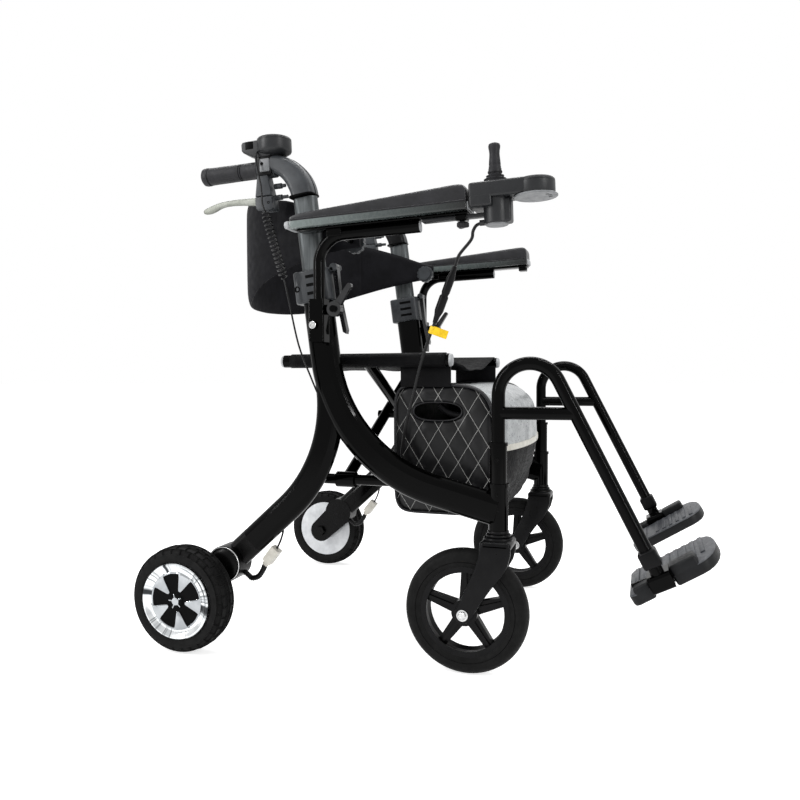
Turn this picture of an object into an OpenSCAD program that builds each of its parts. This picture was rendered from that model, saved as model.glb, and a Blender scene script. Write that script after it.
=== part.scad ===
// Folding powered rollator transport chair with hub-motor rear wheels.
// Forward is +X, the sitter's left is +Y and the floor is Z = 0, in millimetres.
// Right-hand pieces are drawn first. Left-hand pieces are their mirror images.

/* [Stance] */
// Rear axle to the swivel axis of the casters
wheelbase = 536; // [524:1:552]
// Middle plane to the middle of a side frame
frame_y = 248; // [246:1:258]
// Middle plane to the middle of a rear wheel
rear_wheel_y = 308; // [306:1:322]
// Middle plane to the seat rails and the brace pivots
brace_y = 204; // [196:1:205]

/* [Side frame] */
// Where the mast line meets the leg lines, ahead of the rear axle
corner_x = 266; // [258:1:274]
// Height of that meeting point
corner_z = 332; // [326:1:340]
// Backward lean of the mast in degrees
mast_lean = 7.4; // [6:0.2:9]
// Mast length above the meeting point
mast_len = 266; // [256:1:276]
// Height of the front leg's end above the caster sleeve's lower rim
leg_meet = 30.174; // [28:0.001:34]
// Downward slope of the rear leg in degrees
rear_slope = 41.8; // [40:0.2:43]
// Length of the rear leg line to the motor boss
rear_len = 279; // [270:1:288]
// Bend radius from mast to front leg
front_bend = 255; // [235:5:270]
// Bend radius from mast to rear leg
rear_bend = 240; // [220:5:255]
// Height of the oval frame tube
frame_h = 52; // [50:1:56]
// Thickness of the oval frame tube
frame_t = 34; // [33:1:36]
// Wall of the oval frame tube
frame_wall = 4; // [3:0.5:5]

/* [Front leg] */
// Outer diameter of the caster sleeve
sleeve_d = 31; // [29:1:34]
// Height of the sleeve's lower end
sleeve_z = 232; // [228:1:236]
// Length of the caster sleeve
sleeve_len = 71; // [66:1:76]
// Outer diameter of the legrest socket
socket_d = 27; // [26:0.5:29]
// Length of the legrest socket
socket_len = 66; // [58:1:72]

/* [Rear wheels] */
// Rear tyre radius
rear_r = 93; // [90:1:97]
// Rear tyre width
rear_w = 48; // [44:1:52]
// Rim radius under the rear tyre
rear_rim_r = 65; // [62:1:68]
// Hub motor axle diameter
axle_d = 14; // [12:0.5:16]
// Radius of the round boss on the rear leg
boss_r = 32; // [29:1:34]

/* [Casters] */
// Front tyre radius
front_r = 100; // [96:1:102]
// Front tyre width
front_w = 36; // [32:1:40]
// Rim radius under the front tyre
front_rim_r = 72; // [68:1:76]
// Distance from swivel axis back to the wheel axle
caster_trail = 51; // [44:1:56]
// Caster axle diameter
front_axle_d = 8; // [7:0.5:10]
// Caster stem diameter
stem_d = 12; // [10:0.5:14]
// Thickness of a fork blade
blade_t = 8; // [6:0.5:10]

/* [Handles] */
// Width of the oval handle post, fore and aft
post_w = 42; // [38:1:43]
// Thickness of the oval handle post
post_t = 24; // [20:1:25]
// Height of the elbow on the mast line
elbow_y = 443; // [435:1:455]
// Bend radius of the elbow
elbow_r = 45; // [42:1:50]
// Diameter of the elbow cover
elbow_d = 42; // [40:1:44]
// Rise of the grip towards the rear in degrees
grip_rise = 4.5; // [2:0.5:8]
// Largest diameter of the grip
grip_d = 33; // [31:1:36]
// Length of the grip
grip_len = 112; // [100:1:120]

/* [Armrests] */
// Middle plane to the armrest tube
arm_y = 292; // [290:1:300]
// Rear axle to the upright of the armrest tube
arm_x = 252; // [248:1:258]
// Height of the armrest tube's bend centre
arm_z = 648; // [640:1:656]
// Armrest tube diameter
arm_d = 19; // [18:0.5:20]
// Armrest bend radius
arm_bend = 45; // [42:1:48]
// Upward slope of the armrest in degrees
arm_rise = 1.8; // [0.5:0.1:3]
// Length of the arm pad
pad_len = 285; // [270:1:290]
// Width of the arm pad
pad_w = 52; // [46:1:56]

/* [Legrests] */
// Legrest tube diameter
hanger_d = 21; // [19:0.5:22]
// Bend radius of the legrest's arch
hanger_r = 48.7; // [46:0.1:54]
// Height of the arch's centre
hanger_z = 443; // [438:1:450]
// Lean of the legrest's front tube in degrees
hanger_lean = 26.9; // [25:0.1:29]
// Length of the legrest's front tube
hanger_len = 328; // [315:1:335]
// Length of the footplate
foot_len = 150; // [140:1:160]
// Width of the footplate
foot_w = 112; // [100:1:116]

/* [Seat] */
// Height of the seat rails
seat_z = 499; // [492:1:506]
// Seat rail diameter
rail_d = 22; // [20:1:22]
// Rear end of the seat rails, ahead of the rear axle
rail_x0 = 146; // [136:1:156]
// Front end of the seat rails, ahead of the rear axle
rail_x1 = 447; // [440:1:455]
// Height of the brace pivots
pivot_z = 294; // [290:1:298]
// Diameter of the lower brace rails
pivot_d = 18; // [16:1:20]
// Diameter of the brace arms
brace_d = 20; // [18:1:22]
// Sag of the seat cloth in its middle
seat_sag = 15; // [8:1:18]

/* [Bag] */
// Bag length, fore and aft
bag_l = 166; // [150:1:172]
// Bag width, side to side
bag_w = 382; // [372:1:384]
// Bag height
bag_h = 205; // [190:1:212]

/* [Backrest] */
// Rear reach of the backrest band behind its end knobs
back_depth = 289; // [270:1:298]
// Height of the band in its middle
back_h = 226; // [210:1:235]
// Thickness of the band
back_t = 12; // [10:1:13]

/* [Hidden] */
$fn = 64;
slide_gap = 0.3;
run_fit = 0.05;
seat_gap = 0.2;
foot_heel = 54;
foot_tip = wheelbase + hanger_r + turn(hanger_lean, [hanger_r - foot_heel + foot_len, -hanger_len - 12]).x;
mid_x = (foot_tip - rear_r) / 2;

corner = [corner_x, corner_z];
mast_a = 90 + mast_lean;
front_a = -atan((corner_z - sleeve_z - leg_meet) / (wheelbase - corner_x));
rear_a = 180 + rear_slope;
front_turn = 180 - (mast_a - front_a);
rear_turn = 180 - (rear_a - mast_a);
front_tan = front_bend * tan(front_turn / 2);
rear_tan = rear_bend * tan(rear_turn / 2);
front_centre = corner + front_bend / cos(front_turn / 2) * dir((mast_a + front_a) / 2);
rear_centre = corner + rear_bend / cos(rear_turn / 2) * dir((mast_a + rear_a) / 2);
neck_len = 62;
branch_less = 5;
bore_y = 124;
rail_low_x = 206;
rail_low_len = 164;
boss = corner + rear_len * dir(rear_a);
socket_z = sleeve_z + sleeve_len;
wheel_out = rear_wheel_y - frame_y;
arm_out = arm_y - frame_y;
caster_axle = [wheelbase - caster_trail, front_r];
clamp_len = 58;
clamp_w = 62;
clamp_t = 44;
lever_x = 38;
lever_y = mast_len + 53;
elbow_turn = 180 - grip_rise - mast_a;
stub_d = 38;
stub_len = 48;
core_d = 22;
lever_pivot = [-44, 30];
plate_t = 4;
bar_w = 16;
bar_t = 5.6;
bar_y = arm_d / 2 - bar_t - 0.8;
pin_x = -12;
pin_y = 6;
band_pin_d = 12;
knob_gap = 1.2;
clamp_clear = 5.8;
web_h = 56;
web_z = corner_z + mast_len * cos(mast_lean) - clamp_clear - web_h;
arm_pivot = [arm_x + 31, arm_z - 68];
cam_r = 12;
foot_pin_d = 10;
foot_out = 24;
foot_half = 17;
brace_rise = seat_z - pivot_z;
brace_len = norm([2 * brace_y, brace_rise]);
brace_a = atan(brace_rise / (2 * brace_y));
brace_x = [262, 300];
rail_r = rail_d / 2;
bag_x = 435;
bag_z = seat_z - 41 - bag_h / 2;
bag_wall = 3.5;
band_half = 223;
band_pin = arm_at([pin_x, pin_y]);
band_x = band_pin.x + 22;
stick_x = 246;
stick_y = 47;
box_y0 = 27;
box_h = 30;

function dir(a) = [cos(a), sin(a)];
function unit(v) = v / norm(v);
function turn(a, p) = [p.x * cos(a) - p.y * sin(a), p.x * sin(a) + p.y * cos(a)];
// Side-view places of points given on the mast, the grip and the armrest
function mast_at(p) = corner + turn(mast_lean, p);
function grip_at(p) = mast_at([-elbow_r, elbow_y] + turn(elbow_turn, [elbow_r, 0] + p));
function arm_at(p) = [arm_x + arm_bend, arm_z] + turn(arm_rise, [p.x, p.y + arm_bend]);
// Point in space from a side-view place and its distance outboard of the frame
function space(p, out) = [p.x, -frame_y - out, p.y];
function flat(lists) = [for (l = lists) for (v = l) v];

// Middle of the chair's length on X = 0
module stand() translate([-mid_x, 0, 0]) children();
module left() mirror([0, 1, 0]) children();
// Side view of the right frame: X forward, Y up, Z outboard
module side() stand() translate([0, -frame_y, 0]) rotate([90, 0, 0]) children();
// Side view with Y along the mast from the meeting point
module on_mast() side() translate(corner) rotate(mast_lean) children();
module along(from, to) translate([0, from, 0]) rotate([-90, 0, 0]) linear_extrude(to - from) children();
// Y along the grip, X up
module on_grip() on_mast() translate([-elbow_r, elbow_y, 0]) rotate(elbow_turn) translate([elbow_r, 0, 0])
    children();
// X along the armrest, Y up, origin at the end of the bend
module on_arm() side() translate([arm_x + arm_bend, arm_z, arm_out]) rotate(arm_rise)
    translate([0, arm_bend, 0]) children();
// X towards the toes, Y up along the legrest's front tube
module on_foot() side() translate([wheelbase + hanger_r, hanger_z, 0]) rotate(hanger_lean)
    translate([hanger_r, -hanger_len, 0]) children();
module on_rear_wheel() side() translate([0, rear_r, wheel_out]) children();
module on_front_wheel() side() translate([caster_axle.x, caster_axle.y, 0]) children();

// Outline with two round ends, w long
module oval(w, t) {
    square([w - t, t], center = true);
    for (s = [-1, 1]) translate([s * (w - t) / 2, 0]) circle(d = t);
}

// Rectangle with round corners
module rrect(w, h, r) {
    square([w - 2 * r, h], center = true);
    square([w, h - 2 * r], center = true);
    for (x = [-1, 1], y = [-1, 1]) translate([x * (w / 2 - r), y * (h / 2 - r)]) circle(r);
}

// Oval bar that starts at the origin and runs at angle a
module oval_bar(a, len, w, t) rotate(a) rotate([0, 90, 0]) linear_extrude(len) rotate(90) oval(w, t);

// Closed surface through rings of points
module skin(rings) {
    n = len(rings);
    m = len(rings[0]);
    sides = [for (i = [0 : n - 2], j = [0 : m - 1]) let (k = (j + 1) % m)
        each [[i * m + j, i * m + k, (i + 1) * m + j], [i * m + k, (i + 1) * m + k, (i + 1) * m + j]]];
    ends = [for (j = [1 : m - 2]) each [[0, j + 1, j], [(n - 1) * m, (n - 1) * m + j, (n - 1) * m + j + 1]]];
    polyhedron(flat(rings), concat(sides, ends));
}

// Round cord along points, with a frame that turns as little as it can
function tangents(p) = [for (i = [0 : len(p) - 1])
    unit(p[min(i + 1, len(p) - 1)] - p[max(i - 1, 0)])];
function normals(t, start) = [for (i = 0, n = unit(start - (start * t[0]) * t[0]); i < len(t);
    i = i + 1, n = i < len(t) ? unit(n - (n * t[i]) * t[i]) : n) n];
function cord_rings(p, r, sides) = let (t = tangents(p), n = normals(t, [0.3, 1, 0.2]))
    [for (i = [0 : len(p) - 1]) [for (j = [0 : sides - 1]) let (a = -360 * j / sides)
        p[i] + r * (cos(a) * n[i] + sin(a) * cross(t[i], n[i]))]];
module cord(p, d, sides = 8) skin(cord_rings(p, d / 2, sides));

// Smooth points between chosen ones, n to a span
function curve(p, n) = [for (i = [0 : len(p) - 2], k = [0 : (i == len(p) - 2 ? n : n - 1)])
    let (t = k / n, a = p[max(i - 1, 0)], b = p[i], c = p[i + 1], d = p[min(i + 2, len(p) - 1)])
    0.5 * (2 * b + (c - a) * t + (2 * a - 5 * b + 4 * c - d) * t * t + (3 * b - a - 3 * c + d) * t * t * t)];

// Oval outline of the frame tube, drawn with narrow flats
module strip_oval(w, t) polygon([for (i = [0 : 23]) let (a = 15 * i + 7.5)
    [sign(cos(a)) * (w - t) / 2 + t / 2 * cos(a), t / 2 * sin(a)]]);
module strip_bar(a, len, w, t) rotate(a) rotate([0, 90, 0]) linear_extrude(len) rotate(90) strip_oval(w, t);

// Y-shaped tube: mast and front leg are one sweep and the rear leg branches off inside it
module y_tube(h, t, front_end, rear_end) {
    h2 = h - branch_less;
    t2 = t - branch_less;
    translate(corner) rotate(mast_lean) along(front_tan, mast_len) strip_oval(h, t);
    translate(front_centre) rotate(mast_a + 90) rotate_extrude(angle = front_turn)
        translate([front_bend, 0]) strip_oval(h, t);
    translate(corner + front_tan * dir(front_a)) strip_bar(front_a, front_end - front_tan, h, t);
    translate(corner) rotate(mast_lean) along(rear_tan, front_tan + 14) strip_oval(h2, t2);
    translate(rear_centre) rotate(rear_a + 90) rotate_extrude(angle = rear_turn)
        translate([rear_bend, 0]) strip_oval(h2, t2);
    translate(corner + rear_tan * dir(rear_a)) strip_bar(rear_a, rear_end - rear_tan, h2, t2);
}

module side_frame() {
    front_end = (wheelbase - corner_x) / cos(front_a);
    difference() {
        union() {
            y_tube(frame_h, frame_t, front_end, rear_len - neck_len);
            // caster sleeve, legrest socket and their collars
            translate([wheelbase, sleeve_z, 0]) rotate([-90, 0, 0]) {
                cylinder(d = sleeve_d, h = sleeve_len);
                translate([0, 0, sleeve_len - 4]) cylinder(d = sleeve_d + 3, h = 6);
                cylinder(d = socket_d, h = sleeve_len + socket_len);
                translate([0, 0, sleeve_len + socket_len - 5]) cylinder(d = socket_d + 3, h = 5);
            }
            // lower brace rail on two stand-offs
            for (p = [[rail_low_x + 12, pivot_z], [rail_low_x + rail_low_len - 8, pivot_z + 8]])
                translate([p.x, p.y, brace_y - frame_y]) cylinder(d = 14, h = frame_y - brace_y);
            translate([rail_low_x, pivot_z, brace_y - frame_y]) rotate([0, 90, 0])
                cylinder(d = pivot_d, h = rail_low_len);
            arm_bracket();
        }
        // hollow of the legs and the post's bore
        difference() {
            y_tube(frame_h - 2 * frame_wall, frame_t - 2 * frame_wall, front_end - 24, rear_len - neck_len + 1);
            translate(corner) rotate(mast_lean) along(bore_y - 6, mast_len + 1) square([80, 60], center = true);
        }
        translate(corner) rotate(mast_lean) along(bore_y, mast_len + 1)
            oval(post_w + 2 * slide_gap, post_t + 2 * slide_gap);
        translate([wheelbase, sleeve_z, 0]) rotate([-90, 0, 0]) {
            translate([0, 0, -1]) cylinder(d = stem_d + 2 * run_fit, h = sleeve_len - 9);
            translate([0, 0, sleeve_len + 4]) cylinder(d = hanger_d + 2 * slide_gap, h = socket_len + 1);
        }
    }
}

// Sleeve that carries the armrest tube, with the pin of its cam lever
module arm_bracket() {
    translate([arm_x, web_z - 6, arm_out]) rotate([-90, 0, 0]) linear_extrude(arm_z - 51 - web_z + 6) difference() {
        rrect(arm_d + 8, arm_d + 8, 4);
        circle(d = arm_d + 2 * slide_gap);
    }
    web_out = arm_out - (arm_d + 8) / 2 + 1;
    translate([arm_x - 24, web_z, frame_t / 2 - 5]) cube([22, web_h, web_out - frame_t / 2 + 5]);
    translate([arm_x - 3, web_z + 21, arm_out + (arm_d + 8) / 2 - 1]) cylinder(d = 13, h = 5);
    lug_x = arm_x + (arm_d + 8) / 2 - 1;
    translate([lug_x, arm_pivot.y - 8, arm_out - 6]) cube([arm_pivot.x - lug_x, 16, 6]);
    translate([arm_pivot.x, arm_pivot.y, arm_out - 6]) {
        cylinder(d = 16, h = 6);
        cylinder(d = 6, h = 20);
        translate([0, 0, 18.6]) cylinder(d = 11, h = 4);
    }
}

module side_frame_right() color("dimgray") side() side_frame();
module side_frame_left() color("dimgray") left() side() side_frame();

// Neck, round boss, dropout arm, axle and stator of one hub motor
module motor_mount() {
    arm_out_z = 24;
    axle = [0, rear_r];
    difference() {
        union() {
            translate([boss.x, boss.y, -16]) cylinder(r = boss_r, h = 16 + arm_out_z);
            translate(boss) oval_bar(rear_slope, neck_len - seat_gap, frame_h - branch_less, frame_t - branch_less);
        }
        translate([boss.x, boss.y, arm_out_z - 2]) difference() {
            cylinder(r = boss_r - 7, h = 3);
            translate([0, 0, -1]) cylinder(r = boss_r - 11, h = 5);
        }
    }
    away = atan2(boss.y - axle.y, boss.x - axle.x);
    translate([0, 0, arm_out_z - 12]) linear_extrude(12) {
        translate(axle) circle(r = 26);
        polygon([axle + 26 * dir(away + 90), boss + (boss_r - 2) * dir(away + 90),
            boss + (boss_r - 2) * dir(away - 90), axle + 26 * dir(away - 90)]);
    }
    translate([0, rear_r, 0]) {
        translate([0, 0, 4]) cylinder(d = axle_d + 10, h = 9, $fn = 6);
        translate([0, 0, 6]) cylinder(d = axle_d, h = wheel_out + 6);
        translate([0, 0, wheel_out - 13]) cylinder(r = rear_rim_r - 20, h = 24);
    }
}
module motor_mount_right() color("darkslategray") side() motor_mount();
module motor_mount_left() color("darkslategray") left() side() motor_mount();

// Motor shell: drum with one closed side plate and a bearing bore
module rear_hub() {
    half = rear_w / 2 - 3;
    difference() {
        union() {
            translate([0, 0, -half]) cylinder(r = rear_rim_r, h = 2 * half);
            translate([0, 0, -half - 3]) cylinder(r = 24, h = 4);
        }
        translate([0, 0, -half + 4]) cylinder(r = rear_rim_r - 6, h = 2 * half - 10);
        translate([0, 0, -half - 4]) cylinder(d = axle_d + 2 * run_fit, h = 9);
    }
}
module rear_hub_right() color("gray") on_rear_wheel() rear_hub();
module rear_hub_left() color("gray") left() on_rear_wheel() rear_hub();

// Dished chrome cover with five windows and a star boss
module hub_cover() {
    base = rear_w / 2 - 3 + seat_gap / 2;
    difference() {
        translate([0, 0, base]) rotate_extrude() polygon([[0, 0], [rear_rim_r, 0], [rear_rim_r, 2.5],
            [rear_rim_r - 4, 6], [rear_rim_r - 12, 5], [24, 2.5], [0, 2.5]]);
        for (i = [0 : 4]) rotate(90 + 72 * i) translate([0, 0, base - 1]) linear_extrude(10) intersection() {
            difference() {
                circle(r = rear_rim_r - 15);
                circle(r = 22);
            }
            polygon([[0, 0], 80 * dir(-22), [90, 0], 80 * dir(22)]);
        }
    }
    translate([0, 0, base + 2]) cylinder(r = 15, h = 2);
    translate([0, 0, base + 3]) linear_extrude(3) polygon([for (i = [0 : 9])
        (i % 2 == 0 ? 13 : 6) * dir(90 + 36 * i)]);
}
module hub_cover_right() color("silver") on_rear_wheel() hub_cover();
module hub_cover_left() color("silver") left() on_rear_wheel() hub_cover();

module rear_tyre() {
    b = rear_rim_r + seat_gap / 2;
    h = rear_w / 2;
    rotate_extrude() difference() {
        polygon([[b, 3 - h], [b + 5, 0.5 - h], [rear_r - 13, -h], [rear_r - 5, 3 - h], [rear_r - 1, 9 - h],
            [rear_r, 15 - h], [rear_r, h - 15], [rear_r - 1, h - 9], [rear_r - 5, h - 3],
            [rear_r - 13, h], [b + 5, h - 0.5], [b, h - 3]]);
        for (w = [-9, 0, 9]) translate([rear_r - 2.5, w - 1.2]) square([6, 2.4]);
    }
}
module rear_tyre_right() color("black") on_rear_wheel() rear_tyre();
module rear_tyre_left() color("black") left() on_rear_wheel() rear_tyre();

// Stem, crown, two tapered blades and the axle bolt
module caster_fork() {
    inner = front_w / 2 + 4;
    crown_z = front_r + sqrt(front_r * front_r - 676) + 8;
    translate([wheelbase, 0, 0]) rotate([-90, 0, 0]) {
        translate([0, 0, crown_z]) cylinder(d = 2 * (inner + blade_t) - 12, h = sleeve_z - 0.5 - crown_z);
        translate([0, 0, crown_z]) cylinder(d = stem_d, h = sleeve_z + sleeve_len - 14 - crown_z);
    }
    difference() {
        translate([wheelbase - 24, crown_z, -inner - blade_t]) cube([47, 10, 2 * (inner + blade_t)]);
        for (x = [-1, 1], z = [-1, 1]) translate([wheelbase - 0.5 + x * 23.5, crown_z + 5, z * (inner + blade_t)])
            rotate([90, 0, 0]) cylinder(r = 7, h = 12, center = true, $fn = 4);
    }
    tilt = atan2(crown_z - caster_axle.y, caster_trail);
    for (s = [-1, 1]) translate([0, 0, s * (inner + blade_t / 2)]) linear_extrude(blade_t, center = true)
        difference() {
            union() {
                translate(caster_axle) circle(r = 14);
                polygon([caster_axle + 14 * dir(tilt + 90), [wheelbase - 24, crown_z - 20],
                    [wheelbase - 24, crown_z + 8], [wheelbase + 23, crown_z + 8],
                    [wheelbase + 20, crown_z - 25], caster_axle + 14 * dir(tilt - 90)]);
            }
            translate(caster_axle) circle(d = front_axle_d + 0.2);
        }
    translate(caster_axle) {
        cylinder(d = front_axle_d, h = 2 * (inner + blade_t + 4), center = true);
        for (s = [-1, 1]) translate([0, 0, s * (inner + blade_t + 2.1)])
            cylinder(d = front_axle_d + 6, h = 4, center = true);
    }
}
module caster_fork_right() color("dimgray") side() caster_fork();
module caster_fork_left() color("dimgray") left() side() caster_fork();

// Five-spoke rim
module front_rim() {
    half = front_w / 2 - 4;
    difference() {
        union() {
            rotate_extrude() polygon([[front_rim_r - 9, -half], [front_rim_r, -half], [front_rim_r, half],
                [front_rim_r - 9, half], [front_rim_r - 6, 4], [front_rim_r - 6, -4]]);
            cylinder(r = 21, h = front_w - 2, center = true);
            for (i = [0 : 4]) rotate(90 + 72 * i) {
                linear_extrude(12, center = true)
                    polygon([[8, -11], [front_rim_r - 3, -7], [front_rim_r - 3, 7], [8, 11]]);
                linear_extrude(18, center = true)
                    polygon([[8, -3], [front_rim_r - 4, -2], [front_rim_r - 4, 2], [8, 3]]);
            }
        }
        cylinder(d = front_axle_d + 2 * run_fit, h = front_w + 8, center = true);
    }
}
module front_rim_right() color("gray") on_front_wheel() front_rim();
module front_rim_left() color("gray") left() on_front_wheel() front_rim();

module front_tyre() {
    b = front_rim_r + seat_gap / 2;
    h = front_w / 2;
    r = front_r;
    rotate_extrude() difference() {
        polygon([[b, 4 - h], [b + 4, 1.5 - h], [r - 14, -h], [r - 7, 2 - h], [r - 3, 6 - h], [r - 0.7, 12 - h],
            [r, 17 - h], [r, h - 17], [r - 0.7, h - 12], [r - 3, h - 6], [r - 7, h - 2], [r - 14, h],
            [b + 4, h - 1.5], [b, h - 4]]);
        for (s = [-1, 1]) translate([b + 9, s * h]) circle(1.4);
    }
}
module front_tyre_right() color("black") on_front_wheel() front_tyre();
module front_tyre_left() color("black") left() on_front_wheel() front_tyre();

// Oval telescoping tube
module handle_post() along(140, elbow_y - seat_gap) difference() {
    oval(post_w, post_t);
    oval(post_w - 5, post_t - 5);
}
module handle_post_right() color("darkgray") on_mast() handle_post();
module handle_post_left() color("darkgray") left() on_mast() handle_post();

// Elbow cover, handle tube and brake housing
module handle_elbow() {
    on_mast() {
        translate([-elbow_r, elbow_y, 0]) rotate_extrude(angle = elbow_turn)
            translate([elbow_r, 0]) circle(d = elbow_d);
    }
    on_grip() {
        along(-3, stub_len) circle(d = stub_d);
        along(stub_len, stub_len + grip_len - 4) circle(d = core_d);
        // brake housing with the lever's fork and pin, and two cable adjusters
        difference() {
            translate([-38, 28, 0]) linear_extrude(30, center = true) rrect(52, 34, 7);
            translate([lever_pivot.x - 15, lever_pivot.y - 9, -6]) cube([26, 40, 12]);
        }
        translate([lever_pivot.x, lever_pivot.y, 0]) cylinder(d = 6, h = 26, center = true);
        for (x = [-28, -50]) translate([x, 12, 0]) rotate([90, 0, 0]) {
            cylinder(d = 9, h = 12);
            cylinder(d = 6, h = 20);
        }
    }
}
module handle_elbow_right() color("slategray") handle_elbow();
module handle_elbow_left() color("slategray") left() handle_elbow();

// Rubber sleeve with a collar, finger swell and round end
module grip() translate([0, stub_len + seat_gap, 0]) rotate([-90, 0, 0]) rotate_extrude() {
    r = grip_d / 2;
    c = core_d / 2 + seat_gap / 2;
    difference() {
        union() {
            polygon([[c, 0], [r + 2, 0], [r + 2, 5], [r - 1, 8], [r - 1, 13], [r - 2.5, 14], [r - 2.5, 17],
                [r - 1, 18], [r, 0.45 * grip_len], [r - 1.5, grip_len - 12], [r - 1, grip_len - 6],
                [r - 4, grip_len], [c, grip_len]]);
            translate([0, grip_len - 3.5]) square([r - 4, 3.5]);
        }
        translate([-1, -1]) square([c + 1, grip_len - 2.5]);
    }
}
module grip_right() color("black") on_grip() grip();
module grip_left() color("black") left() on_grip() grip();

// Curved two-finger lever
module brake_lever() {
    difference() {
        linear_extrude(11, center = true) {
            translate(lever_pivot) circle(r = 8);
            polygon([lever_pivot + [7, 4], lever_pivot + [5, 26], [-43, 80], [-50, 112], [-54, 146],
                [-60, 152], [-66, 146], [-63, 112], [-58, 80], lever_pivot + [-8, 26], lever_pivot + [-8, 0]]);
            translate([-60, 146]) circle(r = 6);
        }
        translate(lever_pivot) cylinder(d = 6 + 2 * run_fit, h = 20, center = true);
    }
}
module brake_lever_right() color("lightgray") on_grip() brake_lever();
module brake_lever_left() color("lightgray") left() on_grip() brake_lever();

// Collar on the mast's top, with side slots and the lever's ears
module post_clamp() {
    difference() {
        along(mast_len + 0.01, mast_len + clamp_len) difference() {
            union() {
                rrect(clamp_w, clamp_t, 9);
                translate([-clamp_w / 2 - 4, 0]) rrect(34, clamp_t - 12, 6);
            }
            oval(post_w + 2 * slide_gap, post_t + 2 * slide_gap);
        }
        for (i = [0 : 2], s = [-1, 1]) translate([2, mast_len + 15 + 14 * i, s * clamp_t / 2])
            cube([30, 5, 7], center = true);
        translate([-clamp_w / 2 - 12, mast_len + 20, 12]) cylinder(d = 8, h = 12);
    }
    for (s = [-1, 1]) translate([lever_x, lever_y, s * 9]) linear_extrude(5, center = true) {
        circle(r = 6.5);
        translate([-9, -6.5]) square([9, 13]);
    }
    translate([lever_x, lever_y, 0]) cylinder(d = 5, h = 22, center = true);
}
module post_clamp_right() color("gray") on_mast() post_clamp();
module post_clamp_left() color("gray") left() on_mast() post_clamp();

module clamp_lever() difference() {
    linear_extrude(12, center = true) {
        translate([lever_x, lever_y]) circle(r = 6);
        polygon([[lever_x - 3.5, lever_y], [lever_x - 3, lever_y - 60], [lever_x + 1, lever_y - 108],
            [lever_x + 6, lever_y - 112], [lever_x + 8, lever_y - 106], [lever_x + 4, lever_y - 60],
            [lever_x + 5, lever_y]]);
    }
    translate([lever_x, lever_y, 0]) cylinder(d = 5 + 2 * run_fit, h = 20, center = true);
}
module clamp_lever_right() color("silver") on_mast() clamp_lever();
module clamp_lever_left() color("silver") left() on_mast() clamp_lever();

// Bent tube with base plate, controller guide and the backrest's pin
module arm_support() {
    side() translate([arm_x, 0, arm_out]) {
        translate([0, arm_z - 117, 0]) rotate([-90, 0, 0]) cylinder(d = arm_d, h = 117);
        translate([arm_bend, arm_z, 0]) rotate(90 + arm_rise) rotate_extrude(angle = 90 - arm_rise)
            translate([arm_bend, 0]) circle(d = arm_d);
    }
    on_arm() {
        rotate([0, 90, 0]) cylinder(d = arm_d, h = 127);
        translate([65, arm_d / 2 - 0.4, 0]) rotate([-90, 0, 0]) linear_extrude(plate_t + 0.4) rrect(280, 30, 8);
        translate([pin_x - 14, pin_y - 9, -15]) cube([28, arm_d / 2 - pin_y + 9, 30]);
        translate([pin_x, pin_y, -15]) mirror([0, 0, 1])
            cylinder(d = band_pin_d, h = arm_y - 15 - (band_half - back_t / 2 - knob_gap));
        difference() {
            translate([182, -7, -15]) cube([24, arm_d / 2 + 7, 30]);
            translate([180, bar_y - 0.3, -bar_w / 2 - 0.3]) cube([30, bar_t + 0.6, bar_w + 0.6]);
            translate([194, -8, 0]) rotate([-90, 0, 0]) cylinder(d = 6 + 2 * run_fit, h = 14);
        }
    }
}
module arm_support_right() color("dimgray") arm_support();
module arm_support_left() color("dimgray") left() arm_support();

// Padded rest: crowned, drawn in at the sides, thicker to the front
function pad_ring(u) = let (x = pad_len * u / 2 + 64.5, e = pow(1 - pow(abs(u), 12), 0.25),
    h = 33 + 7 * u, w = pad_w / 2 * (0.96 + 0.04 * u))
    [for (j = [0 : 19]) let (a = 360 * j / 20, c = cos(a), s = sin(a),
        p = pow(max(abs(c), abs(s)), -0.72))
        [x, arm_d / 2 + plate_t + seat_gap + h / 2 + e * h / 2 * s * (s < 0 ? min(p * 1.2, 1 / max(abs(s), 0.01)) : p),
            -e * w * c * p]];
module arm_pad() skin([for (u = [-0.999, -0.97, -0.88, -0.7, -0.45, -0.2, 0.05, 0.3, 0.55, 0.78, 0.9, 0.97, 0.999])
    pad_ring(u)]);
module arm_pad_right() color("black") on_arm() arm_pad();
module arm_pad_left() color("black") left() on_arm() arm_pad();

// Cam disc with its thumb arm
module arm_lever() translate([arm_pivot.x, arm_pivot.y, arm_out + 0.3]) difference() {
    union() {
        cylinder(r = cam_r, h = 12);
        rotate(55) translate([0, 0, 2]) linear_extrude(8) {
            polygon([[0, -6], [44, -4], [44, 4], [0, 6]]);
            translate([44, 0]) circle(r = 4);
        }
    }
    translate([0, 0, -1]) cylinder(d = 6 + 2 * run_fit, h = 16);
}
module arm_lever_right() color("gray") side() arm_lever();
module arm_lever_left() color("gray") left() side() arm_lever();

// Fluted knob that holds the end of the backrest band
module backrest_knob() translate([pin_x, pin_y, -(arm_y - band_half + back_t / 2 + knob_gap)]) mirror([0, 0, 1]) difference() {
    union() {
        cylinder(r = 18, h = 10);
        cylinder(r = 13, h = 13);
    }
    for (i = [0 : 11]) rotate(30 * i) translate([19.5, 0, -1]) cylinder(r = 3, h = 12);
}
module backrest_knob_right() color("gray") on_arm() backrest_knob();
module backrest_knob_left() color("gray") left() on_arm() backrest_knob();

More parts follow.
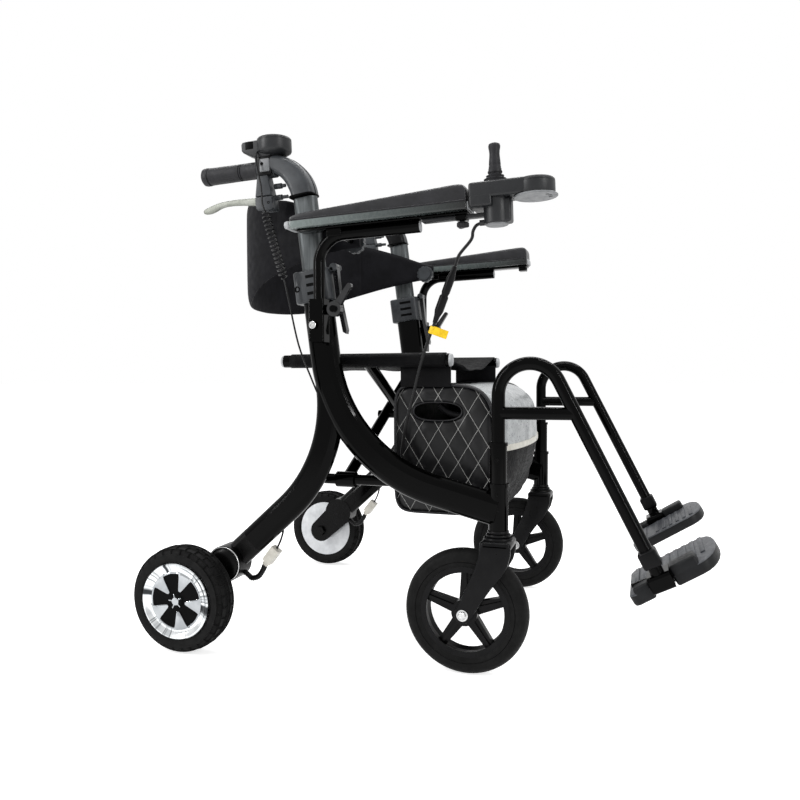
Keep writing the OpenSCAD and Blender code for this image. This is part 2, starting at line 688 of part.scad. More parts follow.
// Arched tube with brace bar and the footplate's hinge block
module legrest() {
    side() {
        translate([wheelbase, socket_z + 6, 0]) rotate([-90, 0, 0]) cylinder(d = hanger_d, h = hanger_z - socket_z - 6);
        translate([wheelbase + hanger_r, hanger_z, 0]) {
            rotate(hanger_lean) rotate_extrude(angle = 90 - hanger_lean) translate([hanger_r, 0]) circle(d = hanger_d);
            rotate(90) rotate_extrude(angle = 90) translate([hanger_r, 0]) circle(d = hanger_d);
        }
        bar_z = hanger_z - 28;
        end = hanger_r + hanger_r / cos(hanger_lean) + (hanger_z - bar_z) * tan(hanger_lean);
        translate([wheelbase, bar_z, 0]) rotate([0, 90, 0]) cylinder(d = hanger_d - 1, h = end);
    }
    on_foot() {
        rotate([-90, 0, 0]) cylinder(d = hanger_d, h = hanger_len);
        translate([0, -2, (13 - foot_out - 12) / 2]) rotate([0, 90, 0])
            linear_extrude(2 * foot_half, center = true) rrect(foot_out + 25, 26, 6);
        translate([6 - foot_half - 34, 0, -foot_out]) rotate([0, 90, 0]) cylinder(d = foot_pin_d, h = 2 * foot_half + 60);
    }
}
module legrest_right() color("dimgray") legrest();
module legrest_left() color("dimgray") left() legrest();

// Ribbed plate with a front block and a heel block that turn on the hinge pin
module footplate() {
    heel = -foot_heel;
    gap = foot_half + 0.4;
    difference() {
        union() {
            foot_plate(heel);
            for (i = [0 : 8]) translate([heel + 15 + i * (foot_len - 30) / 8, -3, -foot_out - 13 - foot_w / 2])
                cube([5, 5, foot_w - 24], center = true);
            translate([gap, -12, -foot_out - 16]) front_block();
            translate([heel, -14, -foot_out - 16]) cube([-gap - heel, 22, 40]);
        }
        translate([heel - 1, 0, -foot_out]) rotate([0, 90, 0])
            cylinder(d = foot_pin_d + 2 * run_fit, h = gap - heel + 47);
        translate([-gap, -30, -foot_out - 15]) cube([2 * gap, 60, 60]);
    }
}
// Plate with a round toe and an underside that rises to it
module foot_plate(heel) intersection() {
    toe_r = 0.62 * foot_w;
    translate([heel + foot_len / 2, -30, -foot_out - 13 - foot_w / 2]) rotate([-90, 0, 0]) linear_extrude(40) {
        translate([-toe_r / 2, 0]) rrect(foot_len - toe_r, foot_w, 16);
        intersection() {
            translate([foot_len / 2 - toe_r, 0]) circle(r = toe_r);
            square([foot_len, foot_w], center = true);
        }
    }
    translate([0, 0, -foot_out - 13 - foot_w - 1]) linear_extrude(foot_w + 2) polygon([[heel - 1, -2],
        [heel + foot_len + 1, -2], [heel + foot_len + 1, -12], [heel + foot_len - 40, -20], [heel - 1, -20]]);
}
module front_block() linear_extrude(40) polygon([[0, 0], [62, 0], [78, 8], [76, 13],
    [50, 20], [0, 22]]);
module footplate_right() color("slategray") on_foot() footplate();
module footplate_left() color("slategray") left() on_foot() footplate();

// Pivot sleeve, arm and the opposite seat rail, welded together
module cross_brace(x, spacer) stand() translate([x, -brace_y, pivot_z]) rotate([brace_a, 0, 0]) {
    difference() {
        union() {
            rotate([0, 90, 0]) cylinder(d = pivot_d + 9, h = 34, center = true);
            rotate([-90, 0, 0]) cylinder(d = brace_d, h = brace_len);
        }
        rotate([0, 90, 0]) cylinder(d = pivot_d + 2 * run_fit, h = 40, center = true);
    }
    translate([rail_x0 - x, brace_len, 0]) rotate([0, 90, 0]) {
        cylinder(d = rail_d, h = rail_x1 - rail_x0);
        translate([0, 0, rail_x1 - rail_x0]) cylinder(d = rail_d - 3, h = 4);
    }
    translate([0, brace_len / 2, 0]) rotate([0, 90, 0]) {
        translate([0, 0, -brace_d / 2 - 4]) cylinder(d = 15, h = 8);
        if (spacer) cylinder(d = 15, h = brace_x[1] - brace_x[0] - brace_d / 2 - 4.5);
    }
}
module cross_brace_right() color("dimgray") cross_brace(brace_x[0], true);
module cross_brace_left() color("dimgray") left() cross_brace(brace_x[1], false);

// Lead from the motor to its plug, and from the plug into the leg
lead_out = -4;
module motor_plug() side() translate([136, 160, lead_out]) rotate(52) {
    translate([-13, -8.5, -8]) cube([30, 17, 16]);
    translate([-20, -5, -5]) cube([8, 10, 10]);
}
module motor_plug_right() color("ivory") motor_plug();
module motor_plug_left() color("ivory") left() motor_plug();
module motor_lead() side() {
    cord(curve([[88, 124.5, lead_out], [97, 118, lead_out], [110, 122, lead_out], [119, 134, lead_out],
        [123, 143, lead_out]], 4), 8, 8);
    cord(curve([[147, 174, lead_out], [152, 181, lead_out], [158, 190, lead_out], [164, 198, lead_out]], 3), 3.5, 8);
}
module motor_lead_right() color("black") motor_lead();
module motor_lead_left() color("black") left() motor_lead();

// Sagging seat cloth with hems round the outer side of the rails
function sling_top(y) = seat_z + rail_r + 4.4 - seat_sag * (1 - pow(y / brace_y, 2));
module seat_sling() color("darkslategray") stand() translate([rail_x0 + 16, 0, 0]) rotate([90, 0, 90])
    linear_extrude(rail_x1 - rail_x0 - 24) {
        ys = [for (i = [-10 : 10]) i * brace_y / 10];
        polygon(concat([for (y = ys) [y, sling_top(y)]],
            [for (i = [20 : -1 : 0]) [ys[i], sling_top(ys[i]) - 4]]));
        for (s = [-1, 1]) translate([s * brace_y, seat_z]) difference() {
            circle(r = rail_r + 4.4);
            circle(r = rail_r + 0.4);
            translate([s < 0 ? 0 : -40, -30]) square([40, 60]);
            translate([-20, -46]) square([40, 40]);
        }
    }

// Hollow bag with a hand hole in each side and straps up to the rails
module bag() color("dimgray") stand() {
    difference() {
        translate([bag_x, 0, bag_z]) rotate([90, 0, 0]) linear_extrude(bag_w, center = true) rrect(bag_l, bag_h, 22);
        translate([bag_x, 0, bag_z]) rotate([90, 0, 0]) linear_extrude(bag_w - 2 * bag_wall, center = true)
            rrect(bag_l - 2 * bag_wall, bag_h - 2 * bag_wall, 20);
        translate([bag_x - 8, 0, bag_z + bag_h / 2 - 44]) rotate([90, 0, 0])
            linear_extrude(bag_w + 10, center = true) oval(86, 34);
    }
    translate([bag_x - 31, 0, bag_z + bag_h / 2 - 1.5]) cube([84, 2 * brace_y - 17, 3], center = true);
    strap_top = seat_z - sqrt(rail_r * rail_r - 64) - 0.6;
    strap_z = bag_z + bag_h / 2 - 1;
    for (s = [-1, 1]) translate([bag_x - 31, s * (brace_y - 10), (strap_top + strap_z) / 2])
        cube([84, 3, strap_top - strap_z], center = true);
}

module battery_pack() color("black") stand() translate([bag_x, 0, bag_z - bag_h / 2 + bag_wall + seat_gap])
    linear_extrude(0.41 * bag_h) rrect(bag_l - 50, 0.576 * bag_w, 10);

// Padded band round the back: tall in the middle, narrow at the knobs
function band_point(u) = let (a = 90 * u) [band_x - back_depth * pow(max(cos(a), 0.0001), 0.75),
    band_half * sign(u) * pow(abs(sin(a)), 0.85)];
function band_ring(u) = let (p = band_point(u), q = unit(band_point(u + 0.004) - band_point(u - 0.004)),
    s = pow(abs(u), 2.2), hh = (back_h * (1 - s) + 44 * s) / 2, zc = band_pin.y - 2 * (1 - s), t = back_t / 2)
    [for (j = [0 : 11]) let (a = 360 * j / 12, c = cos(a), d = sin(a), k = pow(max(abs(c), abs(d)), -0.6))
        [p.x + q.y * t * c * k, p.y - q.x * t * c * k, zc + hh * sign(d) * pow(abs(d), 0.55)]];
module backrest() color("black") stand() difference() {
    skin([for (i = [-16 : 16]) band_ring(0.9955 * sign(i) * pow(abs(i) / 16, 0.8))]);
    for (s = [-1, 1]) translate([band_pin.x, s * band_half, band_pin.y])
        rotate([90, 0, 0]) cylinder(d = band_pin_d + 1.6, h = 40, center = true);
}

// Attendant control on the right handle
module control_pod() color("gray") on_grip() {
    difference() {
        translate([stub_d / 2 + 0.3, 24, 0]) rotate([0, 90, 0]) linear_extrude(20) rrect(36, 38, 6);
        translate([0, -20, 0]) rotate([-90, 0, 0]) cylinder(d = stub_d + 0.4, h = 90);
    }
    translate([stub_d / 2 + 19, 0, 0]) rotate([0, 90, 0]) {
        linear_extrude(24) {
            translate([0, 47]) circle(r = 30);
            translate([0, 16]) rrect(44, 66, 8);
        }
        translate([0, 47, 24]) cylinder(r = 26, h = 6);
    }
}

// Curly cord from the pod down to the mast, as one tube
curl_n = 17;
curl_r = 6;
curl_d = 3;
curl_top = space(grip_at([-63.4, 10.9]), 37);
curl_end = space(mast_at([-39.7, 307.7]), 37);
curl_axis = unit(curl_end - curl_top);
curl_side = unit(cross(curl_axis, [0, 1, 0]));
curl_up = cross(curl_side, curl_axis);
function curl_point(i) = let (t = i / (8 * curl_n), a = 45 * i, g = min(1, min(t, 1 - t) * curl_n * 1.2))
    curl_top + t * (curl_end - curl_top) + curl_r * g * (cos(a) * curl_side + sin(a) * curl_up);
curl_points = concat(curve([space(grip_at([38.8, 37]), 30.4), space(grip_at([25, 34.9]), 33.4),
    space(grip_at([-22.2, 22.2]), 37), space(grip_at([-51.7, 14.8]), 37)], 3),
    [for (i = [0 : 8 * curl_n]) curl_point(i)],
    curve([space(mast_at([-39, 301.5]), 37), space(mast_at([-36.9, 275]), 36), space(mast_at([-31.7, 198.7]), 31),
        space(mast_at([-19.9, 141.7]), 24), space(mast_at([-15.1, 116.9]), 18.2)], 3));
curl_gap = min([for (i = [0 : len(curl_points) - 7], j = [i + 6 : len(curl_points) - 1])
    norm(curl_points[i] - curl_points[j])]) - curl_d;
echo(curl_gap = curl_gap);
module curly_cord() color("black") stand() cord(curl_points, curl_d, 6);

// Joystick box with its round rest, lower housing and sliding bar
module joystick_box() color("dimgray") on_arm() {
    difference() {
        union() {
            translate([0, box_y0, 0]) rotate([-90, 0, 0]) {
                linear_extrude(box_h - 3) box_plan(0);
                translate([0, 0, box_h - 3.01]) linear_extrude(3.01) box_plan(3);
                translate([305, 0, -2]) cylinder(r = 25, h = 3);
            }
            translate([250, -9, 0]) rotate([-90, 0, 0]) linear_extrude(box_y0 + 10) rrect(43, 40, 7);
            translate([133, bar_y, -bar_w / 2]) cube([98, bar_t, bar_w]);
        }
        translate([stick_x, stick_y - 9, 0]) rotate([-90, 0, 0]) cylinder(r = 15, h = 40);
        translate([stick_x, stick_y, 0]) cylinder(d = 3 + 2 * run_fit, h = 44, center = true);
        translate([290, box_y0 + box_h - 6, 0]) rotate([-90, 0, 0]) cylinder(d = 12 + 2 * slide_gap, h = 10);
    }
    translate([222, -3, 0]) rotate([0, 90, 0]) cylinder(d = 9, h = 8);
}
module box_plan(inset) {
    translate([257, 0]) rrect(96 - 2 * inset, 50 - 2 * inset, 10);
    translate([305, 0]) circle(r = 34 - inset);
}

// Rubber bellows under the stick
module joystick_boot() color("black") on_arm() translate([stick_x, box_y0 + box_h + 0.2, 0]) rotate([-90, 0, 0])
    rotate_extrude() difference() {
        polygon([[0, 0], [20, 0], [20, 2], [16, 3], [17, 6], [12.5, 8], [13.5, 11], [9, 13], [9.5, 16], [7, 18],
            [7, 22], [0, 22]]);
        polygon([[0, -1], [15, -1], [13, 4], [9.5, 9], [6.5, 14], [4.4, 18], [4.4, 23], [0, 23]]);
    }

// Ring that lets the stick tilt both ways
module joystick_gimbal() color("silver") on_arm() translate([stick_x, stick_y, 0]) difference() {
    union() {
        rotate([-90, 0, 0]) cylinder(r = 11, h = 6, center = true);
        cylinder(d = 3, h = 36, center = true);
    }
    rotate([-90, 0, 0]) cylinder(r = 7.5, h = 10, center = true);
    rotate([0, 90, 0]) cylinder(d = 3 + 2 * run_fit, h = 30, center = true);
}

module joystick_stick() color("black") on_arm() translate([stick_x, stick_y, 0]) {
    translate([0, -4, 0]) rotate([-90, 0, 0]) rotate_extrude() polygon([[0, 0], [4, 0], [4, 36], [7, 37.5],
        [7.5, 41], [6.5, 46], [6, 56], [8, 62], [9, 68], [7.5, 73], [4, 75], [0, 75]]);
    rotate([0, 90, 0]) cylinder(d = 3, h = 20, center = true);
}

module power_button() color("silver") on_arm() translate([290, box_y0 + box_h - 3.5, 0]) rotate([-90, 0, 0])
    cylinder(d = 12, h = 5);

// Thumb screw under the armrest guide
module thumb_knob() color("black") on_arm() translate([194, 0, 0]) rotate([90, 0, 0]) {
    translate([0, 0, -bar_y + 0.3]) cylinder(d = 6, h = bar_y + 8);
    translate([0, 0, 7.3]) difference() {
        cylinder(r = 9, h = 14);
        for (i = [0 : 7]) rotate(45 * i) translate([10, 0, -1]) cylinder(r = 2.2, h = 16);
    }
}

// Joystick lead with its two plugs and a bare tag
plug_a = space(arm_at([179.7, -58.6]), arm_out - 5);
plug_b = space(arm_at([141, -142.5]), arm_out - 16);
plug_d = unit(plug_b - plug_a);
lead_points = [space(arm_at([220.5, -3]), arm_out), space(arm_at([215, -4.5]), arm_out),
    space(arm_at([210, -11]), arm_out), space(arm_at([206.5, -22]), arm_out - 1),
    plug_a - 18 * plug_d, plug_a];
lead_lower = [plug_b, plug_b + 34 * plug_d,
    [410, -252, 488], [392, -232, 440], [376, -217, 398], [366, -bag_w / 2 - 16, 362],
    [362, -bag_w / 2 - 12, 340], [366, -bag_w / 2 - 7, 326], [372, -bag_w / 2 - 2.2, 320]];
module joystick_lead() color("black") stand() {
    cord(curve(lead_points, 4), 5, 8);
    cord(curve(lead_lower, 4), 5, 8);
}
module lead_plugs() color("dimgray") stand() translate(plug_a)
    rotate([0, acos(plug_d.z), atan2(plug_d.y, plug_d.x)]) {
        l = norm(plug_b - plug_a);
        rotate_extrude() polygon([[0, 0.3], [3.5, 0.3], [5, 14], [6.5, 20], [6.5, 44], [5.5, 45], [5.5, 48], [7, 49],
            [7, 74], [5, 80], [3.5, l - 0.3], [0, l - 0.3]]);
        translate([0, 0, l + 5]) linear_extrude(14) difference() {
            union() {
                circle(r = 5.6);
                translate([0, -1]) square([26, 2]);
            }
            circle(r = 3.8);
        }
    }

side_frame_right();
side_frame_left();
motor_mount_right();
motor_mount_left();
rear_hub_right();
rear_hub_left();
hub_cover_right();
hub_cover_left();
rear_tyre_right();
rear_tyre_left();
caster_fork_right();
caster_fork_left();
front_rim_right();
front_rim_left();
front_tyre_right();
front_tyre_left();
handle_post_right();
handle_post_left();
handle_elbow_right();
handle_elbow_left();
grip_right();
grip_left();
brake_lever_right();
brake_lever_left();
post_clamp_right();
post_clamp_left();
clamp_lever_right();
clamp_lever_left();
arm_support_right();
arm_support_left();
arm_pad_right();
arm_pad_left();
arm_lever_right();
arm_lever_left();
backrest_knob_right();
backrest_knob_left();
legrest_right();
legrest_left();
footplate_right();
footplate_left();
cross_brace_right();
cross_brace_left();
motor_plug_right();
motor_plug_left();
motor_lead_right();
motor_lead_left();
seat_sling();
bag();
battery_pack();
backrest();
control_pod();
curly_cord();
joystick_box();
joystick_boot();
joystick_gimbal();
joystick_stick();
power_button();
thumb_knob();
joystick_lead();
lead_plugs();
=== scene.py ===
import bpy
import bmesh
from math import sin, cos, pi, radians, sqrt
from mathutils import Vector, Matrix, noise


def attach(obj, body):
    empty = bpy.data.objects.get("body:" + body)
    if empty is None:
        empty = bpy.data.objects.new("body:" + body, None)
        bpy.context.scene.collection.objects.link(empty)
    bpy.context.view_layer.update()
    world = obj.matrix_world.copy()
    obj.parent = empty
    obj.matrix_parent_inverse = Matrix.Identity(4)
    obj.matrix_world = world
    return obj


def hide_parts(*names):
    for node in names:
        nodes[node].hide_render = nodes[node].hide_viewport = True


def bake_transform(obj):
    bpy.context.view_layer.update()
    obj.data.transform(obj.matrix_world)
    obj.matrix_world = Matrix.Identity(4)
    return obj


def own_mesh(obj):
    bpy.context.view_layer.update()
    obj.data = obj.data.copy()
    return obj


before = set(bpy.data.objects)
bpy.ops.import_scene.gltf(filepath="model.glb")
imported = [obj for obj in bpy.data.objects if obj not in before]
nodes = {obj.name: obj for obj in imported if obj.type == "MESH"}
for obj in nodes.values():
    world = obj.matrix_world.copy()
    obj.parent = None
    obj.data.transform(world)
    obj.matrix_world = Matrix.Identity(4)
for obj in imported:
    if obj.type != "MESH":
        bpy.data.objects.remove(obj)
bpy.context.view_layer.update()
scene = bpy.context.scene
scene.view_settings.view_transform = "Standard"
mm = 0.001
print("frame loaded:", len(nodes), "nodes")

# side view of the chair in mm: x forward from the rear axle, z up from the floor
chair = {
    "middle": 387.285, "frameY": 248, "armY": 292, "wheelY": 308,
    "corner": (266, 332), "lean": 7.4, "elbowY": 446, "elbowR": 60, "elbowTurn": 84.5,
    "arm": (252, 648), "armBend": 45, "armRise": 1.8,
    "leg": (584.7, 443), "legR": 48.7, "legLean": 26.9, "legLen": 328,
    "frontAxle": (485, 100), "rearR": 93, "seatZ": 499, "railY": 204,
}
outward = {"right": -1, "left": 1}


def turned(degrees, x, y):
    a = radians(degrees)
    return x * cos(a) - y * sin(a), x * sin(a) + y * cos(a)


def mastAt(x, y):
    dx, dy = turned(chair["lean"], x, y)
    return chair["corner"][0] + dx, chair["corner"][1] + dy


def gripAt(x, y):
    dx, dy = turned(chair["elbowTurn"], chair["elbowR"] + x, y)
    return mastAt(dx - chair["elbowR"], chair["elbowY"] + dy)


def armAt(x, y):
    dx, dy = turned(chair["armRise"], x, y + chair["armBend"])
    return chair["arm"][0] + chair["armBend"] + dx, chair["arm"][1] + dy


def footAt(x, y):
    dx, dy = turned(chair["legLean"], chair["legR"] + x, y - chair["legLen"])
    return chair["leg"][0] + dx, chair["leg"][1] + dy


def spot(place, y):
    return Vector(((place[0] - chair["middle"]) * mm, y * mm, place[1] * mm))


# a frame turns local mm (x forward, y up, z outboard) into the shared frame in metres
def sideFrame(side, place, degrees, y):
    a = radians(degrees)
    out = outward[side]
    return Matrix((
        (cos(a) * mm, -sin(a) * mm, 0, (place[0] - chair["middle"]) * mm),
        (0, 0, out * mm, out * y * mm),
        (sin(a) * mm, cos(a) * mm, 0, place[1] * mm),
        (0, 0, 0, 1)))


frames = {}
for side in outward:
    frames["plain", side] = sideFrame(side, (0, 0), 0, chair["frameY"])
    frames["mast", side] = sideFrame(side, chair["corner"], chair["lean"], chair["frameY"])
    frames["grip", side] = sideFrame(side, gripAt(0, 0), chair["lean"] + chair["elbowTurn"], chair["frameY"])
    frames["arm", side] = sideFrame(side, armAt(0, 0), chair["armRise"], chair["armY"])
    frames["foot", side] = sideFrame(side, footAt(0, 0), chair["legLean"], chair["frameY"])
    frames["rearWheel", side] = sideFrame(side, (0, chair["rearR"]), 0, chair["wheelY"])
    frames["frontWheel", side] = sideFrame(side, chair["frontAxle"], 0, chair["frameY"])
middleFrame = Matrix(((mm, 0, 0, -chair["middle"] * mm), (0, mm, 0, 0), (0, 0, mm, 0), (0, 0, 0, 1)))
upright = Matrix.Rotation(radians(-90), 4, "X")  # turns a lathe's z axis to a frame's y axis
turnX = Matrix.Rotation(radians(90), 4, "Y")  # and to its x axis


# sRGB hex to linear
def linear(hexColour):
    parts = [int(hexColour[i:i + 2], 16) / 255 for i in (1, 3, 5)]
    return [c / 12.92 if c <= 0.04045 else ((c + 0.055) / 1.055) ** 2.4 for c in parts] + [1]


def addNode(material, kind, inputs=None, **settings):
    node = material.node_tree.nodes.new(kind)
    for key, value in settings.items():
        setattr(node, key, value)
    for key, value in (inputs or {}).items():
        if isinstance(value, bpy.types.NodeSocket):
            material.node_tree.links.new(value, node.inputs[key])
        else:
            node.inputs[key].default_value = value
    return node


finishes = {}


# mottled colour, uneven gloss and a fine surface texture, all sized in mm
def addFinish(name, look):
    material = bpy.data.materials.new(name)
    material.use_nodes = True
    shader = material.node_tree.nodes["Principled BSDF"]
    links = material.node_tree.links
    place = addNode(material, "ShaderNodeTexCoord").outputs["Object"]
    if "stretch" in look:
        place = addNode(material, "ShaderNodeMapping",
                        {"Vector": place, "Scale": look["stretch"]}).outputs["Vector"]
    mottle = addNode(material, "ShaderNodeTexNoise",
                     {"Vector": place, "Scale": 1 / (look["mottle"] * mm), "Detail": 4, "Roughness": 0.6})
    ramp = addNode(material, "ShaderNodeValToRGB", {"Fac": mottle.outputs["Fac"]})
    ramp.color_ramp.elements[0].position = 0.32
    ramp.color_ramp.elements[1].position = 0.7
    ramp.color_ramp.elements[0].color = linear(look["dark"])
    ramp.color_ramp.elements[1].color = linear(look["light"])
    links.new(ramp.outputs["Color"], shader.inputs["Base Color"])
    gloss = addNode(material, "ShaderNodeTexNoise",
                    {"Vector": place, "Scale": 1 / (look["mottle"] * 0.3 * mm), "Detail": 3})
    rough = addNode(material, "ShaderNodeMapRange",
                    {"Value": gloss.outputs["Fac"], "From Min": 0.3, "From Max": 0.7,
                     "To Min": look["rough"][0], "To Max": look["rough"][1]})
    links.new(rough.outputs["Result"], shader.inputs["Roughness"])
    grainKind = look.get("grainKind", "ShaderNodeTexNoise")
    grain = addNode(material, grainKind, {"Vector": place, "Scale": 1 / (look["grain"] * mm)})
    height = grain.outputs["Distance"] if grainKind == "ShaderNodeTexVoronoi" else grain.outputs["Fac"]
    bump = addNode(material, "ShaderNodeBump",
                   {"Height": height, "Strength": look.get("bump", 0.2), "Distance": look["depth"] * mm})
    links.new(bump.outputs["Normal"], shader.inputs["Normal"])
    for key, socket in (("specular", "Specular IOR Level"), ("metallic", "Metallic")):
        if key in look:
            shader.inputs[socket].default_value = look[key]
    finishes[name] = material
    return material


looks = {
    # gloss black powder coat: deep black, faint orange peel, sharp highlights
    "powderCoatBlack": {"dark": "#010101", "light": "#030303", "mottle": 60, "rough": (0.05, 0.1), "grain": 2.2,
                        "depth": 0.05, "bump": 0.1, "specular": 0.06},
    # die-cast and painted: the same black, a little rougher
    "castAlloyBlack": {"dark": "#030303", "light": "#080808", "mottle": 30, "rough": (0.22, 0.36), "grain": 1.4,
                       "depth": 0.08, "bump": 0.25, "specular": 0.09},
    # moulded ABS with a fine spark-eroded texture: dark grey, soft sheen
    "mouldedAbsGrey": {"dark": "#2b2d30", "light": "#3a3d40", "mottle": 26, "rough": (0.34, 0.48), "grain": 0.8,
                       "depth": 0.06, "bump": 0.3, "specular": 0.3},
    # polished ABS of the controls: near black, clearer reflections
    "polishedAbsBlack": {"dark": "#141517", "light": "#1e1f21", "mottle": 40, "rough": (0.36, 0.46), "grain": 1.2,
                         "depth": 0.03, "bump": 0.12, "specular": 0.3},
    # glass-filled nylon of forks and rims: black, satin with flow marks
    "mouldedNylonBlack": {"dark": "#060607", "light": "#0f0f10", "mottle": 34, "rough": (0.26, 0.42), "grain": 1.0,
                          "depth": 0.06, "bump": 0.25, "specular": 0.1},
    # polypropylene footplates: dark grey, scuffed satin
    "mouldedPolypropylene": {"dark": "#0c0d0e", "light": "#161719", "mottle": 22, "rough": (0.38, 0.56), "grain": 0.9,
                             "depth": 0.1, "bump": 0.35, "specular": 0.16},
    # footplate tops: lighter grey, a painted reflection of the bright surroundings on the upward faces
    "polypropyleneTopReflection": {"dark": "#34363a", "light": "#4a4c50", "mottle": 16, "rough": (0.36, 0.5), "grain": 0.9,
                             "depth": 0.1, "bump": 0.35, "specular": 0.3},
    # vulcanised tyre rubber: charcoal, dusty and dull
    "tyreRubber": {"dark": "#0b0b0b", "light": "#161616", "mottle": 18, "rough": (0.5, 0.7), "grain": 1.1,
                   "depth": 0.12, "bump": 0.4, "specular": 0.08},
    # soft grip rubber: black, matt
    "gripRubber": {"dark": "#151517", "light": "#222225", "mottle": 14, "rough": (0.45, 0.62), "grain": 0.9,
                   "depth": 0.12, "bump": 0.4, "specular": 0.22},
    # bright chrome plate: mirror with faint haze
    "chromePlate": {"dark": "#8b8e91", "light": "#b0b3b5", "mottle": 50, "rough": (0.05, 0.13), "grain": 3,
                    "depth": 0.02, "bump": 0.05, "metallic": 1.0},
    # bead-blasted aluminium of the brake levers: pale silver
    "blastedAluminium": {"dark": "#74766f", "light": "#90928c", "mottle": 20, "rough": (0.5, 0.6), "grain": 0.7,
                         "depth": 0.04, "bump": 0.25, "metallic": 1.0},
    # drawn and anodised aluminium posts: dark grey with streaks along the tube
    "anodisedAluminium": {"dark": "#3e4142", "light": "#5a5d5e", "mottle": 26, "rough": (0.42, 0.54), "grain": 1.2,
                          "depth": 0.03, "bump": 0.2, "stretch": (6, 6, 0.35), "metallic": 1.0},
    # lacquered black steel of the small levers: dark, glossy edges
    "lacqueredSteel": {"dark": "#0c0c0d", "light": "#1b1b1d", "mottle": 18, "rough": (0.14, 0.24), "grain": 1.2,
                       "depth": 0.04, "bump": 0.15, "specular": 0.5},
    # light grey ABS of the control's clamp and the discs under the joystick
    "mouldedAbsLight": {"dark": "#6c6e70", "light": "#88898b", "mottle": 20, "rough": (0.36, 0.5), "grain": 0.8,
                        "depth": 0.06, "bump": 0.3, "specular": 0.3},
    # zinc-plated steel screws: bright, slightly cloudy
    "zincPlatedSteel": {"dark": "#a3a4a5", "light": "#cfcfce", "mottle": 6, "rough": (0.18, 0.32), "grain": 0.8,
                        "depth": 0.03, "bump": 0.2, "metallic": 1.0},
    # cast aluminium hub shell with clear lacquer: off-white silver
    "castHubAluminium": {"dark": "#b4b6b9", "light": "#d0d2d4", "mottle": 24, "rough": (0.3, 0.42), "grain": 1.2,
                         "depth": 0.05, "bump": 0.25, "metallic": 0.4},
    # PVC cable jacket: black, slight gloss
    "pvcJacket": {"dark": "#060607", "light": "#101011", "mottle": 12, "rough": (0.32, 0.46), "grain": 0.8,
                  "depth": 0.04, "bump": 0.2, "specular": 0.2},
    # ivory nylon connector body
    "nylonIvory": {"dark": "#bdbab0", "light": "#d8d5cc", "mottle": 10, "rough": (0.35, 0.5), "grain": 0.8,
                   "depth": 0.04, "bump": 0.2},
    # yellow vinyl tag, left bare
    "vinylTag": {"dark": "#dcb400", "light": "#f5cc10", "mottle": 12, "rough": (0.35, 0.5), "grain": 1.5,
                 "depth": 0.05, "bump": 0.2},
    # light grey polyethylene plugs in tube ends
    "polyethyleneGrey": {"dark": "#8f9193", "light": "#b4b6b8", "mottle": 10, "rough": (0.4, 0.55), "grain": 0.9,
                         "depth": 0.05, "bump": 0.2},
    # pebbled PU leather of the armrests: black, soft broken sheen
    "puLeather": {"dark": "#161618", "light": "#242427", "mottle": 24, "rough": (0.3, 0.42), "grain": 1.5,
                  "depth": 0.16, "bump": 0.3, "grainKind": "ShaderNodeTexVoronoi", "specular": 0.3},
    # knitted polyester over foam: black, dull
    "laminatedFoam": {"dark": "#0e0e10", "light": "#18181b", "mottle": 40, "rough": (0.55, 0.72), "grain": 1.3,
                      "depth": 0.2, "bump": 0.35, "grainKind": "ShaderNodeTexVoronoi", "specular": 0.06},
    # silver-coated nylon: crinkled, with a metallic shine
    "silverNylon": {"dark": "#85888a", "light": "#b0b3b4", "mottle": 16, "rough": (0.24, 0.4), "grain": 9,
                    "depth": 1.6, "bump": 0.5, "metallic": 0.5},
    # near black: dark paint along joint lines, on a bolt and on the switch faces, painted shade in slots, and a dark
    # disc behind the hub cover's windows
    "darkPaintAndShade": {"dark": "#030303", "light": "#070708", "mottle": 20, "rough": (0.4, 0.6), "grain": 1.2,
                  "depth": 0.05, "bump": 0.2, "specular": 0.04},
}
for name, look in looks.items():
    addFinish(name, look)


weave = {"wave": 0.32, "strength": 0.6, "depth": 0.4}  # wave: width of one band at scale 1


# woven polyester: two sets of threads over and under each other, dull black
def addWeave(name, dark, light, thread, rough):
    material = addFinish(name, {"dark": dark, "light": light, "mottle": 30, "rough": rough, "grain": thread,
                                "depth": 0.3, "bump": 0.3, "specular": 0.07})
    shader = material.node_tree.nodes["Principled BSDF"]
    place = addNode(material, "ShaderNodeTexCoord").outputs["Object"]
    scale = weave["wave"] / (thread * mm)
    warp = addNode(material, "ShaderNodeTexWave", {"Vector": place, "Scale": scale}, bands_direction="X")
    weft = addNode(material, "ShaderNodeTexWave", {"Vector": place, "Scale": scale}, bands_direction="Y")
    cross = addNode(material, "ShaderNodeMath", {0: warp.outputs["Fac"], 1: weft.outputs["Fac"]}, operation="MULTIPLY")
    bump = addNode(material, "ShaderNodeBump", {"Height": cross.outputs["Value"], "Strength": weave["strength"],
                                                "Distance": weave["depth"] * mm})
    material.node_tree.links.new(bump.outputs["Normal"], shader.inputs["Normal"])


# threads are drawn wider than the real 0.6 mm, so that they show
addWeave("wovenPolyester", "#020203", "#060607", 2.0, (0.55, 0.72))
addWeave("nylonWebbing", "#060607", "#0f0f11", 2.4, (0.45, 0.6))


# quilted PU leather: black pebbled skin, white thread in diamonds of the given width and height
quilt = {"width": 34.2, "height": 56, "centre": (440, 356), "perCell": 15, "drawn": 0.58, "thread": 0.95,
         "colour": "#b9b9b6"}


